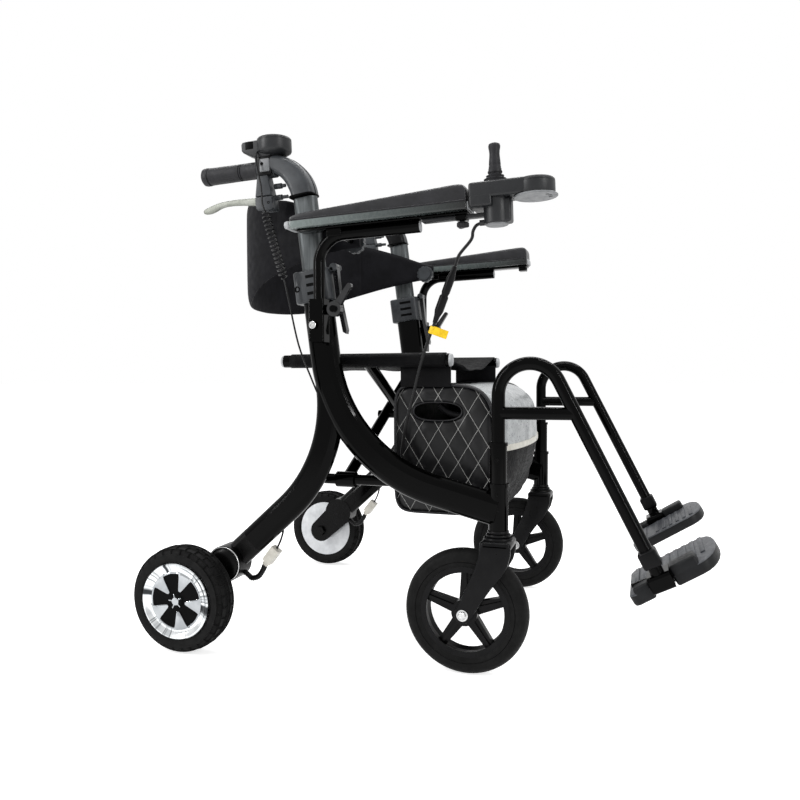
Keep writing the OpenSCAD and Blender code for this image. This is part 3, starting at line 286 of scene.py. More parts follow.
def addQuilt():
    skinLook = {"dark": "#050506", "light": "#0e0e10", "mottle": 20, "rough": (0.32, 0.46), "grain": 1.6,
                "depth": 0.2, "bump": 0.35, "grainKind": "ShaderNodeTexVoronoi", "specular": 0.24}
    material = addFinish("quiltedLeather", skinLook)
    shader = material.node_tree.nodes["Principled BSDF"]
    place = addNode(material, "ShaderNodeTexCoord").outputs["Object"]
    cut = addNode(material, "ShaderNodeSeparateXYZ", {"Vector": place})
    start = spot(quilt["centre"], 0)
    across = addNode(material, "ShaderNodeMath", {0: cut.outputs["X"], 1: start.x}, operation="SUBTRACT")
    upward = addNode(material, "ShaderNodeMath", {0: cut.outputs["Z"], 1: start.z}, operation="SUBTRACT")
    across = addNode(material, "ShaderNodeMath", {0: across.outputs[0], 1: quilt["width"] * mm}, operation="DIVIDE")
    upward = addNode(material, "ShaderNodeMath", {0: upward.outputs[0], 1: quilt["height"] * mm}, operation="DIVIDE")
    rowA = addNode(material, "ShaderNodeMath", {0: across.outputs[0], 1: upward.outputs[0]}, operation="ADD")
    rowB = addNode(material, "ShaderNodeMath", {0: across.outputs[0], 1: upward.outputs[0]}, operation="SUBTRACT")
    half = 0.5 / sqrt(1 / quilt["width"] ** 2 + 1 / quilt["height"] ** 2)  # mm between rows, halved
    edge = quilt["thread"] / 4 / half
    dashes = []
    for row, other in ((rowA, rowB), (rowB, rowA)):
        toRow = addNode(material, "ShaderNodeMath", {0: row.outputs[0], 1: 0.5}, operation="PINGPONG")
        onRow = addNode(material, "ShaderNodeMath", {0: toRow.outputs[0], 1: edge}, operation="LESS_THAN")
        step = addNode(material, "ShaderNodeMath", {0: other.outputs[0], 1: quilt["perCell"]}, operation="MULTIPLY")
        part = addNode(material, "ShaderNodeMath", {0: step.outputs[0]}, operation="FRACT")
        drawn = addNode(material, "ShaderNodeMath", {0: part.outputs[0], 1: quilt["drawn"]}, operation="LESS_THAN")
        dashes.append(addNode(material, "ShaderNodeMath", {0: onRow.outputs[0], 1: drawn.outputs[0]},
                              operation="MULTIPLY").outputs[0])
    thread = addNode(material, "ShaderNodeMath", {0: dashes[0], 1: dashes[1]}, operation="MAXIMUM")
    skin = shader.inputs["Base Color"].links[0].from_socket
    mix = addNode(material, "ShaderNodeMixRGB",
                  {"Fac": thread.outputs[0], "Color1": skin, "Color2": linear(quilt["colour"])})
    material.node_tree.links.new(mix.outputs["Color"], shader.inputs["Base Color"])


addQuilt()


# bright and dark sectors of the dish's painted reflection
dish = {"sectors": 1.9, "ramp": ((0.36, "#2d2f31"), (0.43, "#c4c7c9"), (0.56, "#d9dbdc"), (0.6, "#6f7274"),
                                 (0.66, "#cdd0d2"))}


# spun and chromed dish: bright and dark sectors about the axle, painted reflections in its base colour
def addSpunChromeReflection():
    material = addFinish("spunChrome", {"dark": "#9b9ea1", "light": "#c6c8ca", "mottle": 40, "rough": (0.12, 0.2),
                                        "grain": 1.2, "depth": 0.02, "bump": 0.1, "metallic": 1.0})
    shader = material.node_tree.nodes["Principled BSDF"]
    hub = spot((0, chair["rearR"]), 0)
    place = addNode(material, "ShaderNodeTexCoord").outputs["Object"]
    shifted = addNode(material, "ShaderNodeVectorMath", {0: place, 1: hub}, operation="SUBTRACT")
    parts = addNode(material, "ShaderNodeSeparateXYZ", {"Vector": shifted.outputs["Vector"]})
    angle = addNode(material, "ShaderNodeMath", {0: parts.outputs["Z"], 1: parts.outputs["X"]}, operation="ARCTAN2")
    sector = addNode(material, "ShaderNodeTexNoise", {"W": angle.outputs[0], "Scale": dish["sectors"], "Detail": 3},
                     noise_dimensions="1D")
    ramp = addNode(material, "ShaderNodeValToRGB", {"Fac": sector.outputs["Fac"]})
    for i, (position, colour) in enumerate(dish["ramp"]):
        element = ramp.color_ramp.elements.new(position) if i else ramp.color_ramp.elements[0]
        element.position = position
        element.color = linear(colour)
    ramp.color_ramp.elements.remove(ramp.color_ramp.elements[-1])
    material.node_tree.links.new(ramp.outputs["Color"], shader.inputs["Base Color"])


addSpunChromeReflection()


# colours of the channel's painted reflection at the rear, the middle and the front
channel = {"ends": (-78, 207), "rear": "#707977", "middle": "#4a5150", "front": "#0c0d0d"}


# armrest channel: brushed paint with a painted reflection in its colour, pale at the rear and dark at the front
def addChannelReflection():
    material = addFinish("rubbedChannel", {"dark": "#1b1c1d", "light": "#26282a", "mottle": 22, "rough": (0.22, 0.32),
                                           "grain": 1.2, "depth": 0.03, "bump": 0.15, "specular": 0.4})
    shader = material.node_tree.nodes["Principled BSDF"]
    place = addNode(material, "ShaderNodeTexCoord").outputs["Object"]
    parts = addNode(material, "ShaderNodeSeparateXYZ", {"Vector": place})
    rear, front = (spot(armAt(x, 0), 0).x for x in channel["ends"])
    share = addNode(material, "ShaderNodeMapRange", {"Value": parts.outputs["X"], "From Min": rear, "From Max": front})
    ramp = addNode(material, "ShaderNodeValToRGB", {"Fac": share.outputs["Result"]})
    ramp.color_ramp.elements[0].color = linear(channel["rear"])
    ramp.color_ramp.elements[1].color = linear(channel["front"])
    ramp.color_ramp.elements.new(0.45).color = linear(channel["middle"])
    material.node_tree.links.new(ramp.outputs["Color"], shader.inputs["Base Color"])


addChannelReflection()
print("finishes:", len(finishes))

nodeFinish = {
    "side_frame": "powderCoatBlack", "legrest": "powderCoatBlack", "cross_brace": "powderCoatBlack",
    "arm_support": "powderCoatBlack", "motor_mount": "castAlloyBlack", "rear_hub": "castHubAluminium",
    "hub_cover": "chromePlate", "rear_tyre": "tyreRubber", "front_tyre": "tyreRubber",
    "caster_fork": "mouldedNylonBlack", "front_rim": "mouldedNylonBlack", "handle_post": "anodisedAluminium",
    "handle_elbow": "mouldedAbsGrey", "grip": "gripRubber", "brake_lever": "blastedAluminium",
    "post_clamp": "mouldedAbsGrey", "clamp_lever": "lacqueredSteel", "arm_pad": "puLeather",
    "arm_lever": "lacqueredSteel", "backrest_knob": "mouldedAbsGrey", "footplate": "mouldedPolypropylene",
    "motor_plug": "nylonIvory", "motor_lead": "pvcJacket", "seat_sling": "wovenPolyester", "bag": "quiltedLeather",
    "battery_pack": "mouldedAbsGrey", "backrest": "laminatedFoam", "control_pod": "polishedAbsBlack",
    "curly_cord": "pvcJacket", "joystick_box": "polishedAbsBlack", "joystick_boot": "gripRubber",
    "joystick_gimbal": "zincPlatedSteel", "joystick_stick": "mouldedAbsGrey", "power_button": "polyethyleneGrey",
    "thumb_knob": "mouldedAbsGrey", "joystick_lead": "pvcJacket", "lead_plugs": "mouldedAbsGrey",
}
for name, obj in nodes.items():
    obj.data.materials.clear()
    obj.data.materials.append(finishes[nodeFinish[name.replace("_right", "").replace("_left", "")]])


# mesh helpers work in local mm
def newVerts(bm, before):
    return [v for v in bm.verts if v not in before]


# a profile of (radius, height) turned about z, closed where its ends are off the axis
def addTurned(bm, profile, steps, place=None):
    before = set(bm.verts)
    verts = [bm.verts.new((r, 0, z)) for r, z in profile]
    edges = [bm.edges.new(pair) for pair in zip(verts, verts[1:])]
    if profile[0][0] > 0.001 or profile[-1][0] > 0.001:
        edges.append(bm.edges.new((verts[-1], verts[0])))
    bmesh.ops.spin(bm, geom=verts + edges, cent=(0, 0, 0), axis=(0, 0, 1), angle=2 * pi, steps=steps, use_merge=True)
    bmesh.ops.remove_doubles(bm, verts=newVerts(bm, before), dist=0.002)
    if place:
        bmesh.ops.transform(bm, matrix=place, verts=newVerts(bm, before))


# a box with rounded edges
def addBlock(bm, low, high, rounding, segments=3):
    size = [b - a for a, b in zip(low, high)]
    centre = [(a + b) / 2 for a, b in zip(low, high)]
    made = bmesh.ops.create_cube(bm, size=1, matrix=Matrix.Translation(centre) @ Matrix.Diagonal((*size, 1)))["verts"]
    edges = list({e for v in made for e in v.link_edges})
    bmesh.ops.bevel(bm, geom=edges, offset=rounding, offset_type="OFFSET", affect="EDGES", segments=segments,
                    profile=0.5, material=-1, clamp_overlap=True)


# an outline of (x, y) points raised from z low to z high, with rounded rims
def addSlab(bm, outline, low, high, rounding, segments=2):
    before = set(bm.verts)
    face = bm.faces.new([bm.verts.new((x, y, low)) for x, y in outline])
    made = bmesh.ops.extrude_face_region(bm, geom=[face])["geom"]
    top = [v for v in made if isinstance(v, bmesh.types.BMVert)]
    bmesh.ops.translate(bm, verts=top, vec=(0, 0, high - low))
    rims = [e for v in newVerts(bm, before) for e in v.link_edges
            if abs(e.verts[0].co.z - e.verts[1].co.z) < 0.001]
    bmesh.ops.bevel(bm, geom=list(set(rims)), offset=rounding, offset_type="OFFSET", affect="EDGES", segments=segments,
                    profile=0.5, material=-1, clamp_overlap=True)


# extrudes the edges of a row of vertices and gives the new row in the same order
def extrudeRow(bm, row, edges):
    made = bmesh.ops.extrude_edge_only(bm, edges=edges)["geom"]
    old = set(row)
    following = {}
    for v in made:
        if isinstance(v, bmesh.types.BMVert):
            for e in v.link_edges:
                if e.other_vert(v) in old:
                    following[e.other_vert(v)] = v
    return [following[v] for v in row]


def ringEdges(bm, ring):
    return [bm.edges.get((ring[k - 1], ring[k])) for k in range(len(ring))]


# rings of points joined one after the other by extrusion; gives the first and the last ring
def addLoft(bm, rings, fill=True):
    first = [bm.verts.new(point) for point in rings[0]]
    for k in range(len(first)):
        bm.edges.new((first[k - 1], first[k]))
    ring = first
    for points in rings[1:]:
        ring = extrudeRow(bm, ring, ringEdges(bm, ring))
        for v, point in zip(ring, points):
            v.co = point
    if fill:
        for end in (first, ring):
            bmesh.ops.edgeloop_fill(bm, edges=ringEdges(bm, end))
    return first, ring


# a round bar along a path, closed to a loop or with flat ends
def addBar(bm, path, radius, sides=10, loop=False):
    rings = []
    normal = None
    count = len(path)
    for i, point in enumerate(path):
        ahead = path[(i + 1) % count] if loop or i + 1 < count else point
        behind = path[i - 1] if loop or i else point
        along = (Vector(ahead) - Vector(behind)).normalized()
        normal = along.orthogonal() if normal is None else normal - along * normal.dot(along)
        normal.normalize()
        across = along.cross(normal)
        rings.append([Vector(point) + (normal * cos(2 * pi * k / sides) + across * sin(2 * pi * k / sides)) * radius
                      for k in range(sides)])
    first, last = addLoft(bm, rings, fill=not loop)
    if loop:
        bmesh.ops.bridge_loops(bm, edges=ringEdges(bm, first) + ringEdges(bm, last))


# a power that keeps the sign, for rounded squares and ovals
def signedPower(value, power):
    return abs(value) ** power * (1 if value >= 0 else -1)


def roundedOutline(width, height, radius, steps=6, centre=(0, 0)):
    points = []
    for turn, (sx, sy) in enumerate(((1, 1), (-1, 1), (-1, -1), (1, -1))):
        for k in range(steps + 1):
            a = radians(90 * turn + 90 * k / steps)
            points.append((centre[0] + sx * (width / 2 - radius) + radius * cos(a),
                           centre[1] + sy * (height / 2 - radius) + radius * sin(a)))
    return points


# puts a finished mesh in its place, with its looks, the body that it rides on and the nodes that it stands for
def finishPiece(name, bm, place, body, looksOf, sharp=35, stands=(), thick=None, smoothLevel=0):
    if place:
        bmesh.ops.transform(bm, matrix=place, verts=bm.verts)
    bmesh.ops.recalc_face_normals(bm, faces=bm.faces)
    mesh = bpy.data.meshes.new(name)
    bm.to_mesh(mesh)
    bm.free()
    for look in looksOf:
        mesh.materials.append(finishes[look])
    mesh.shade_smooth()
    mesh.set_sharp_from_angle(angle=radians(sharp))
    obj = bpy.data.objects.new(name, mesh)
    scene.collection.objects.link(obj)
    if smoothLevel:
        soft = obj.modifiers.new("smooth", "SUBSURF")
        soft.levels = soft.render_levels = smoothLevel
    if thick:
        wall = obj.modifiers.new("wall", "SOLIDIFY")
        wall.thickness = thick * mm
        wall.offset = -1
    if body:
        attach(obj, body)
    if stands:
        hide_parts(*stands)
    return obj


def screwProfile(radius, height, recess):
    return [(0, height - recess), (radius * 0.45, height - recess), (radius * 0.52, height - 0.3),
            (radius * 0.6, height), (radius * 0.85, height), (radius, height - 0.8), (radius, 0), (0, 0)]


# screws of one frame and body: each is (x, y, z, radius, height)
def addScrews(name, place, body, heads, look="zincPlatedSteel"):
    bm = bmesh.new()
    for x, y, z, radius, height in heads:
        addTurned(bm, screwProfile(radius, height, height * 0.6), 18, Matrix.Translation((x, y, z)))
    finishPiece(name, bm, place, body, [look], sharp=30)


# smooth line through the given points, as in the part's source
def curvePoints(points, steps):
    points = [Vector(p) for p in points]
    line = []
    for i in range(len(points) - 1):
        a, b, c, d = points[max(i - 1, 0)], points[i], points[i + 1], points[min(i + 2, len(points) - 1)]
        for k in range(steps + (i == len(points) - 2)):
            t = k / steps
            line.append(0.5 * (2 * b + (c - a) * t + (2 * a - 5 * b + 4 * c - d) * t * t
                               + (3 * b - a - 3 * c + d) * t * t * t))
    return line


# wheels: block tyre, hub cover with petals round a small star, smooth front tyre
tyre = {"steps": 90, "blockRise": 2.3, "blockGap": 1.1, "perBlock": 3, "treadFrom": 81.5,
        "bands": (-17.6, -4.2, 4.2, 17.6)}
hub = {"petals": 5, "turn": 102, "petalZ": (21.1, 23.2), "starZ": (22, 24.8), "dishFrom": 49.2,
       "waist": 6.6, "waistTurn": 26, "armFrom": 6.8, "armTo": 13, "armHalf": 0.9}
rearProfile = [(65.1, -21), (68, -23), (73, -23.9), (80, -24), (85.3, -22.2), (88.6, -17.6), (90.2, -11), (90.6, -4),
               (90.6, 4), (90.2, 11), (88.6, 17.6), (85.3, 22.2), (80, 24), (73, 23.9), (68, 23), (65.1, 21)]
frontProfile = [(72.1, -14), (75, -16), (79.6, -17.2), (80.4, -16.4), (81.2, -17.5), (87, -18), (92, -16.8),
                (96, -13.4), (98.6, -8.4), (99.7, -4), (99.9, 0), (99.7, 4), (98.6, 8.4), (96, 13.4), (92, 16.8),
                (87, 18), (81.2, 17.5), (80.4, 16.4), (79.6, 17.2), (75, 16), (72.1, 14)]
hubRing = [(46.4, 21.1), (46.4, 22.2), (47.2, 22.9), (48.4, 22.8), (49.4, 22), (52, 22.2), (55.5, 23.2), (59, 25.2),
           (60.6, 26.4), (61.8, 27), (63.4, 26.8), (64.6, 25.6), (65, 23.8), (65, 21.1)]
hubPetal = [(18.4, -2.2), (20.4, -3.4), (30, -7), (40, -10.6), (45, -13.4), (47.6, -17.6), (49, -9), (49.4, 0),
            (49, 9), (47.6, 17.6), (45, 13.4), (40, 10.6), (30, 7), (20.4, 3.4), (18.4, 2.2), (17.6, 0)]
for side in outward:
    bm = bmesh.new()
    addTurned(bm, rearProfile, tyre["steps"])
    rows = {}
    for f in bm.faces:
        c = f.calc_center_median()
        if sqrt(c.x ** 2 + c.y ** 2) > tyre["treadFrom"]:
            part = int((Vector((c.x, c.y)).angle_signed(Vector((1, 0)), 0) % (2 * pi)) / (2 * pi) * tyre["steps"])
            row = sum(c.z > edge for edge in tyre["bands"])
            rows.setdefault((row, (part + row % 2) % tyre["steps"] // tyre["perBlock"]), []).append(f)
    for faces in rows.values():
        bmesh.ops.inset_region(bm, faces=faces, thickness=tyre["blockGap"], depth=tyre["blockRise"],
                               use_even_offset=True)
    finishPiece("rearTyre_" + side, bm, frames["rearWheel", side], "rear_wheel_" + side, ["tyreRubber"], sharp=32,
                stands=["rear_tyre_" + side])
    bm = bmesh.new()
    addTurned(bm, hubRing, 80)
    eachTurn = 360 / hub["petals"]
    for k in range(hub["petals"]):
        petal = [turned(hub["turn"] + eachTurn * (k + 0.5), *point) for point in hubPetal]
        addSlab(bm, petal, *hub["petalZ"], 0.8, 2)
    waist = radians(hub["waistTurn"])
    arm = [(hub["waist"] * cos(-waist), hub["waist"] * sin(-waist)), (hub["armFrom"], -hub["armHalf"]),
           (hub["armTo"], -hub["armHalf"]), (hub["armTo"], hub["armHalf"]), (hub["armFrom"], hub["armHalf"]),
           (hub["waist"] * cos(waist), hub["waist"] * sin(waist))]
    star = [turned(hub["turn"] + eachTurn * k, *point) for k in range(hub["petals"]) for point in arm]
    addSlab(bm, star, *hub["starZ"], 0.4, 2)
    # the dish outside the petals takes the spun chrome with its painted sector reflections
    for f in bm.faces:
        c = f.calc_center_median()
        f.material_index = 1 if sqrt(c.x ** 2 + c.y ** 2) > hub["dishFrom"] else 0
    finishPiece("hubCover_" + side, bm, frames["rearWheel", side], "rear_wheel_" + side,
                ["chromePlate", "spunChrome"], sharp=30, stands=["hub_cover_" + side])
    bm = bmesh.new()
    addTurned(bm, [(0, 20.4), (48.5, 20.4), (48.5, 21.5), (14, 21.5), (12, 23.6), (0, 24)], 60)
    finishPiece("hubWindows_" + side, bm, frames["rearWheel", side], "rear_wheel_" + side, ["darkPaintAndShade"])
    bm = bmesh.new()
    addTurned(bm, frontProfile, 96)
    finishPiece("frontTyre_" + side, bm, frames["frontWheel", side], "front_wheel_" + side, ["tyreRubber"], sharp=40,
                stands=["front_tyre_" + side])
print("wheels done")

# caster forks: bevelled blades, round hood and collar rings
fork = {"blade": 8, "inner": 22, "stemX": 536, "bolt": 30}
bladeOutline = [(472.0, 104.5), (471.4, 96), (475.5, 89.3), (482, 86.2), (489, 86.6), (495.5, 90.8), (499, 96.5),
                (514, 122), (531, 146), (546, 165), (555, 181), (559.4, 198), (559.6, 210), (556, 214), (516, 214),
                (512, 209), (509.5, 192), (503, 172), (491, 145), (479, 118)]
for side in outward:
    bm = bmesh.new()
    for sign in (-1, 1):
        low, high = sorted((sign * fork["inner"], sign * (fork["inner"] + fork["blade"])))
        addSlab(bm, bladeOutline, low, high, 2.6, 3)
    addBlock(bm, (511, 203, -30), (560, 218, 30), 6.5, 5)
    for low, high, r in ((214, 221, 23), (221.6, 226, 19.5), (226.6, 231.4, 17)):
        addTurned(bm, [(0, low), (r - 1, low), (r, low + 1.2), (r, high - 1.2), (r - 1, high), (0, high)], 40,
                  Matrix.Translation((fork["stemX"], 0, 0)) @ upright)
    addTurned(bm, [(0, 226), (5.9, 226), (5.9, 289), (0, 289)], 24, Matrix.Translation((fork["stemX"], 0, 0)) @ upright)
    finishPiece("casterFork_" + side, bm, frames["plain", side], "caster_" + side, ["mouldedNylonBlack"], sharp=40,
                stands=["caster_fork_" + side])
    bm = bmesh.new()
    x, z = chair["frontAxle"]
    addTurned(bm, [(0, -33), (3.9, -33), (3.9, 33), (0, 33)], 20, Matrix.Translation((x, z, 0)))
    for sign in (-1, 1):
        turn = Matrix.Translation((x, z, sign * fork["bolt"])) @ (Matrix.Rotation(pi, 4, "X") if sign < 0 else Matrix())
        addTurned(bm, [(0, 0), (9, 0), (9, 1.2), (0, 1.2)], 28, turn)
        addTurned(bm, [(0, 1), (6.6, 1), (6.6, 5), (5.6, 6), (0, 6)], 6, turn)
    finishPiece("casterBolt_" + side, bm, frames["plain", side], "caster_" + side, ["zincPlatedSteel"], sharp=25)
print("forks done")

# footplates: one plate with a notch for the tube, hinge blocks on both sides of it, raised ribs
foot = {"low": -20, "top": -2, "scuffFrom": -3.6, "tilt": 5, "ribs": (-40, -26, 0, 14, 28, 42, 56, 70), "ribHalf": 3.6}
platePlan = [(17.4, -32), (17.4, -3), (20, 0), (58, 0), (68, -3), (76, -10), (82, -20), (87, -36), (90, -54),
             (91.4, -76), (91, -100), (88.6, -121), (84, -135), (76, -144), (64, -149), (-40, -149), (-49, -145.6),
             (-54, -136), (-54, -14), (-51.4, -4.4), (-45, 0), (-20, 0), (-17.4, -3), (-17.4, -32)]
flat = Matrix(((1, 0, 0, 0), (0, 0, 1, 0), (0, 1, 0, 0), (0, 0, 0, 1)))  # plan outline to a lying plate
for side in outward:
    bm = bmesh.new()
    addSlab(bm, platePlan, foot["low"], foot["top"], 3.4, 4)
    bmesh.ops.transform(bm, matrix=flat, verts=bm.verts)
    bm.normal_update()
    # the upward faces and the ribs take the lighter grey of the painted reflection
    for f in bm.faces:
        if f.calc_center_median().y > foot["scuffFrom"]:
            f.material_index = 1
    for x in foot["ribs"]:
        before = set(bm.faces)
        addBlock(bm, (x - foot["ribHalf"], -4, -140), (x + foot["ribHalf"], 0.2, -46 if x > -20 else -52), 0.8, 2)
        for f in set(bm.faces) - before:
            f.material_index = 1
    addBlock(bm, (17.6, -19.4, -36), (60, 11, -0.2), 4.4, 4)
    addBlock(bm, (-44, -19.4, -36), (-17.6, 6, -0.2), 4, 4)
    bmesh.ops.rotate(bm, cent=(0, foot["top"], 0), matrix=Matrix.Rotation(radians(foot["tilt"]), 3, "Z"),
                     verts=bm.verts)
    for low, high in ((8.6, 18.6), (-18.6, -8.6)):
        addTurned(bm, [(0, low), (7, low), (7.8, low + 0.8), (7.8, high - 0.8), (7, high), (0, high)], 28,
                  Matrix.Translation((0, foot["top"], -13)) @ turnX)
    finishPiece("footPlate_" + side, bm, frames["foot", side], "footplate_" + side,
                ["mouldedPolypropylene", "polypropyleneTopReflection"], sharp=40, stands=["footplate_" + side])
    bm = bmesh.new()
    addBlock(bm, (-14, 22, -15), (14, 48, 15), 4, 4)
    finishPiece("legCollar_" + side, bm, frames["foot", side], "legrest_" + side, ["mouldedNylonBlack"], sharp=40)
print("footplates done")

# handles: elbow cover that narrows to the grip, brake housing, grip and lever
handle = {"outer": 19.5, "deep": 20, "shallower": 2.4, "round": 10, "inner": 20, "narrowFrom": 20, "narrow": 12.5,
          "rings": 27, "seamR": 79.4, "gripStart": 22.2, "groove": 32.6}
for side in outward:
    body = "handle_" + side
    bm = bmesh.new()
    rings = []
    for i in range(handle["rings"]):
        a = chair["elbowTurn"] * i / (handle["rings"] - 1)
        thin = max(0, (a - handle["narrowFrom"]) / (chair["elbowTurn"] - handle["narrowFrom"]))
        inner = handle["inner"] - handle["narrow"] * thin ** 1.6
        deep = handle["deep"] - handle["shallower"] * thin
        section = roundedOutline(inner + handle["outer"], 2 * deep, min(handle["round"], inner + 2), 5,
                                 ((handle["outer"] - inner) / 2, 0))
        c, d = cos(radians(a)), sin(radians(a))
        rings.append([Vector((-chair["elbowR"] + (chair["elbowR"] + x) * c,
                              chair["elbowY"] + (chair["elbowR"] + x) * d, z)) for x, z in section])
    addLoft(bm, rings)
    for f in bm.faces:
        f.material_index = 1 if f.calc_center_median().z < 0 else 0
    finishPiece("elbowCover_" + side, bm, frames["mast", side], body, ["mouldedAbsGrey", "mouldedNylonBlack"],
                sharp=40, stands=["handle_elbow_" + side])
    bm = bmesh.new()
    # joint line of the two cover halves along the outer wall, and the joint round the post
    line = [(-chair["elbowR"] + handle["seamR"] * cos(radians(a)),
             chair["elbowY"] + handle["seamR"] * sin(radians(a)), 0) for a in range(1, 85, 4)]
    addBar(bm, line, 0.9, 6)
    addSlab(bm, roundedOutline(44.6, 41.6, 11, 5, (-2, 0)), chair["elbowY"] - 1, chair["elbowY"] + 1.6, 0.6, 2)
    bmesh.ops.transform(bm, matrix=flat, verts=[v for v in bm.verts if abs(v.co.z) > 100])
    finishPiece("elbowSeam_" + side, bm, frames["mast", side], body, ["darkPaintAndShade"])
    bm = bmesh.new()
    addTurned(bm, [(0, -8), (15, -8), (15.6, -7), (15.6, 23), (0, 23)], 40, upright)
    addSlab(bm, [(-9, 1), (-9, 20), (-13, 22), (-48, 27), (-48, -4), (-13, 3)], -7, 14.6, 3, 4)
    for low, high in ((-9.6, -6.1), (6.1, 14.8)):
        addSlab(bm, [(-49.2, -4), (-49.2, 27), (-61, 27), (-68, 26), (-71.4, 23), (-72, 17), (-72, -3), (-70, -6)],
                low, high, 1.6, 3)
    addBlock(bm, (-71.4, -5.6, -8), (-49, 6, 8), 2, 3)
    for x, reach in ((-31, 20), (-50, 24)):
        ferrule = [(0, 0), (4.6, 0), (4.6, 5), (4, 5.4), (4, 6.2), (4.6, 6.6), (4.6, 13), (3.6, 14), (3, 14),
                   (3, reach), (0, reach)]
        addTurned(bm, ferrule, 20, Matrix.Translation((x, -4, 0)) @ Matrix.Rotation(radians(90), 4, "X"))
    finishPiece("brakeHousing_" + side, bm, frames["grip", side], body, ["mouldedAbsGrey"], sharp=35)
    addScrews("brakeScrews_" + side, frames["grip", side], body, [(-60, 2, 14.4, 2.6, 0.9)], "castAlloyBlack")
    bm = bmesh.new()
    profile = [(0, 0.1), (15, 0), (15.6, 0.8), (15.6, 3), (14.8, 4.4), (14.3, 6)]
    for y in (handle["groove"], handle["groove"] + 3.4):
        profile += [(14.3, y - 0.9), (13.2, y - 0.4), (13.2, y + 0.6), (14.3, y + 1.1)]
    profile += [(14.5, 60), (14.6, 84), (14.9, 96), (14.2, 96.6), (14.2, 98), (15.4, 98.8), (15.5, 105),
                (14.6, 108.6), (12, 110.6), (0, 111)]
    addTurned(bm, profile, 48, Matrix.Translation((0, handle["gripStart"], 0)) @ upright)
    finishPiece("rubberGrip_" + side, bm, frames["grip", side], body, ["gripRubber"], sharp=50,
                stands=["grip_" + side])
    # lever path in the grip frame with half width and half thickness
    bm = bmesh.new()
    path = [(-54, 4, 2.6, 4.6), (-54, 5.4, 6, 5.2), (-53.8, 12, 7.4, 5.4), (-53.6, 22, 7.2, 5.5), (-53, 33, 6.7, 5.5),
            (-51.6, 50, 5.8, 5.4), (-50.2, 69, 5.1, 5.3), (-50.2, 84, 4.6, 5.2), (-51, 97, 4.6, 5.1),
            (-53.2, 107, 5.4, 5), (-56.2, 115, 6.3, 4.9), (-58.4, 123, 6.2, 4.8), (-59.6, 130, 5.2, 4.4),
            (-60.1, 134.6, 3.8, 3.6), (-60.3, 136.6, 1.8, 1.8)]
    rings = []
    for i, (x, y, w, t) in enumerate(path):
        ax, ay = path[min(i + 1, len(path) - 1)][:2]
        bx, by = path[max(i - 1, 0)][:2]
        along = Vector((ax - bx, ay - by, 0)).normalized()
        over = Vector((along.y, -along.x, 0))
        rings.append([Vector((x, y, 0)) + over * w * signedPower(cos(pi * k / 8), 0.6)
                      + Vector((0, 0, t * signedPower(sin(pi * k / 8), 0.6))) for k in range(16)])
    addLoft(bm, rings)
    finishPiece("brakeLever_" + side, bm, frames["grip", side], "brake_lever_" + side, ["blastedAluminium"],
                sharp=60, stands=["brake_lever_" + side], smoothLevel=1)
print("handles done")

# attendant control: drum over the elbow, lobe with a rocker switch, light clamp block
pod = {"centre": -6, "lobe": [(24.6, -14), (16, -4), (16, 20), (25.6, 41), (28, 46), (31.6, 48.6), (42, 49),
                              (45.4, 46.6), (46.4, 40), (46.4, -14)],
       "drum": [(0, 18), (15, 18), (24, 23), (28, 25.6), (29.2, 28), (29.2, 43), (28.8, 43.4), (28.8, 44),
                (29.2, 44.4), (29, 47), (27.4, 48.8), (0, 49)]}
bm = bmesh.new()
addTurned(bm, pod["drum"], 64, Matrix.Translation((0, pod["centre"], 0)) @ turnX)
addSlab(bm, pod["lobe"], -17, 17, 3.2, 4)
finishPiece("controlPod", bm, frames["grip", "right"], "handle_right", ["polishedAbsBlack"], sharp=38,
            stands=["control_pod"])
bm = bmesh.new()
for z in (-17.4, 15.8):
    addBlock(bm, (32, 25, z), (44.6, 40.4, z + 1.6), 0.7, 2)
finishPiece("podSwitch", bm, frames["grip", "right"], "handle_right", ["darkPaintAndShade"], sharp=30)
bm = bmesh.new()
addBlock(bm, (-14, -6.4, 6), (18, 20.6, 17.6), 2.4, 3)
finishPiece("podStrap", bm, frames["grip", "right"], "handle_right", ["mouldedNylonBlack"], sharp=38)
bm = bmesh.new()
addBlock(bm, (-9, -4.4, 9), (13, 14, 19.6), 2, 3)
finishPiece("podClamp", bm, frames["grip", "right"], "handle_right", ["mouldedAbsLight"], sharp=38)
addScrews("podScrews", frames["grip", "right"], "handle_right", [(4, 9, 19.2, 3, 1.2)], "castAlloyBlack")
print("attendant control done")

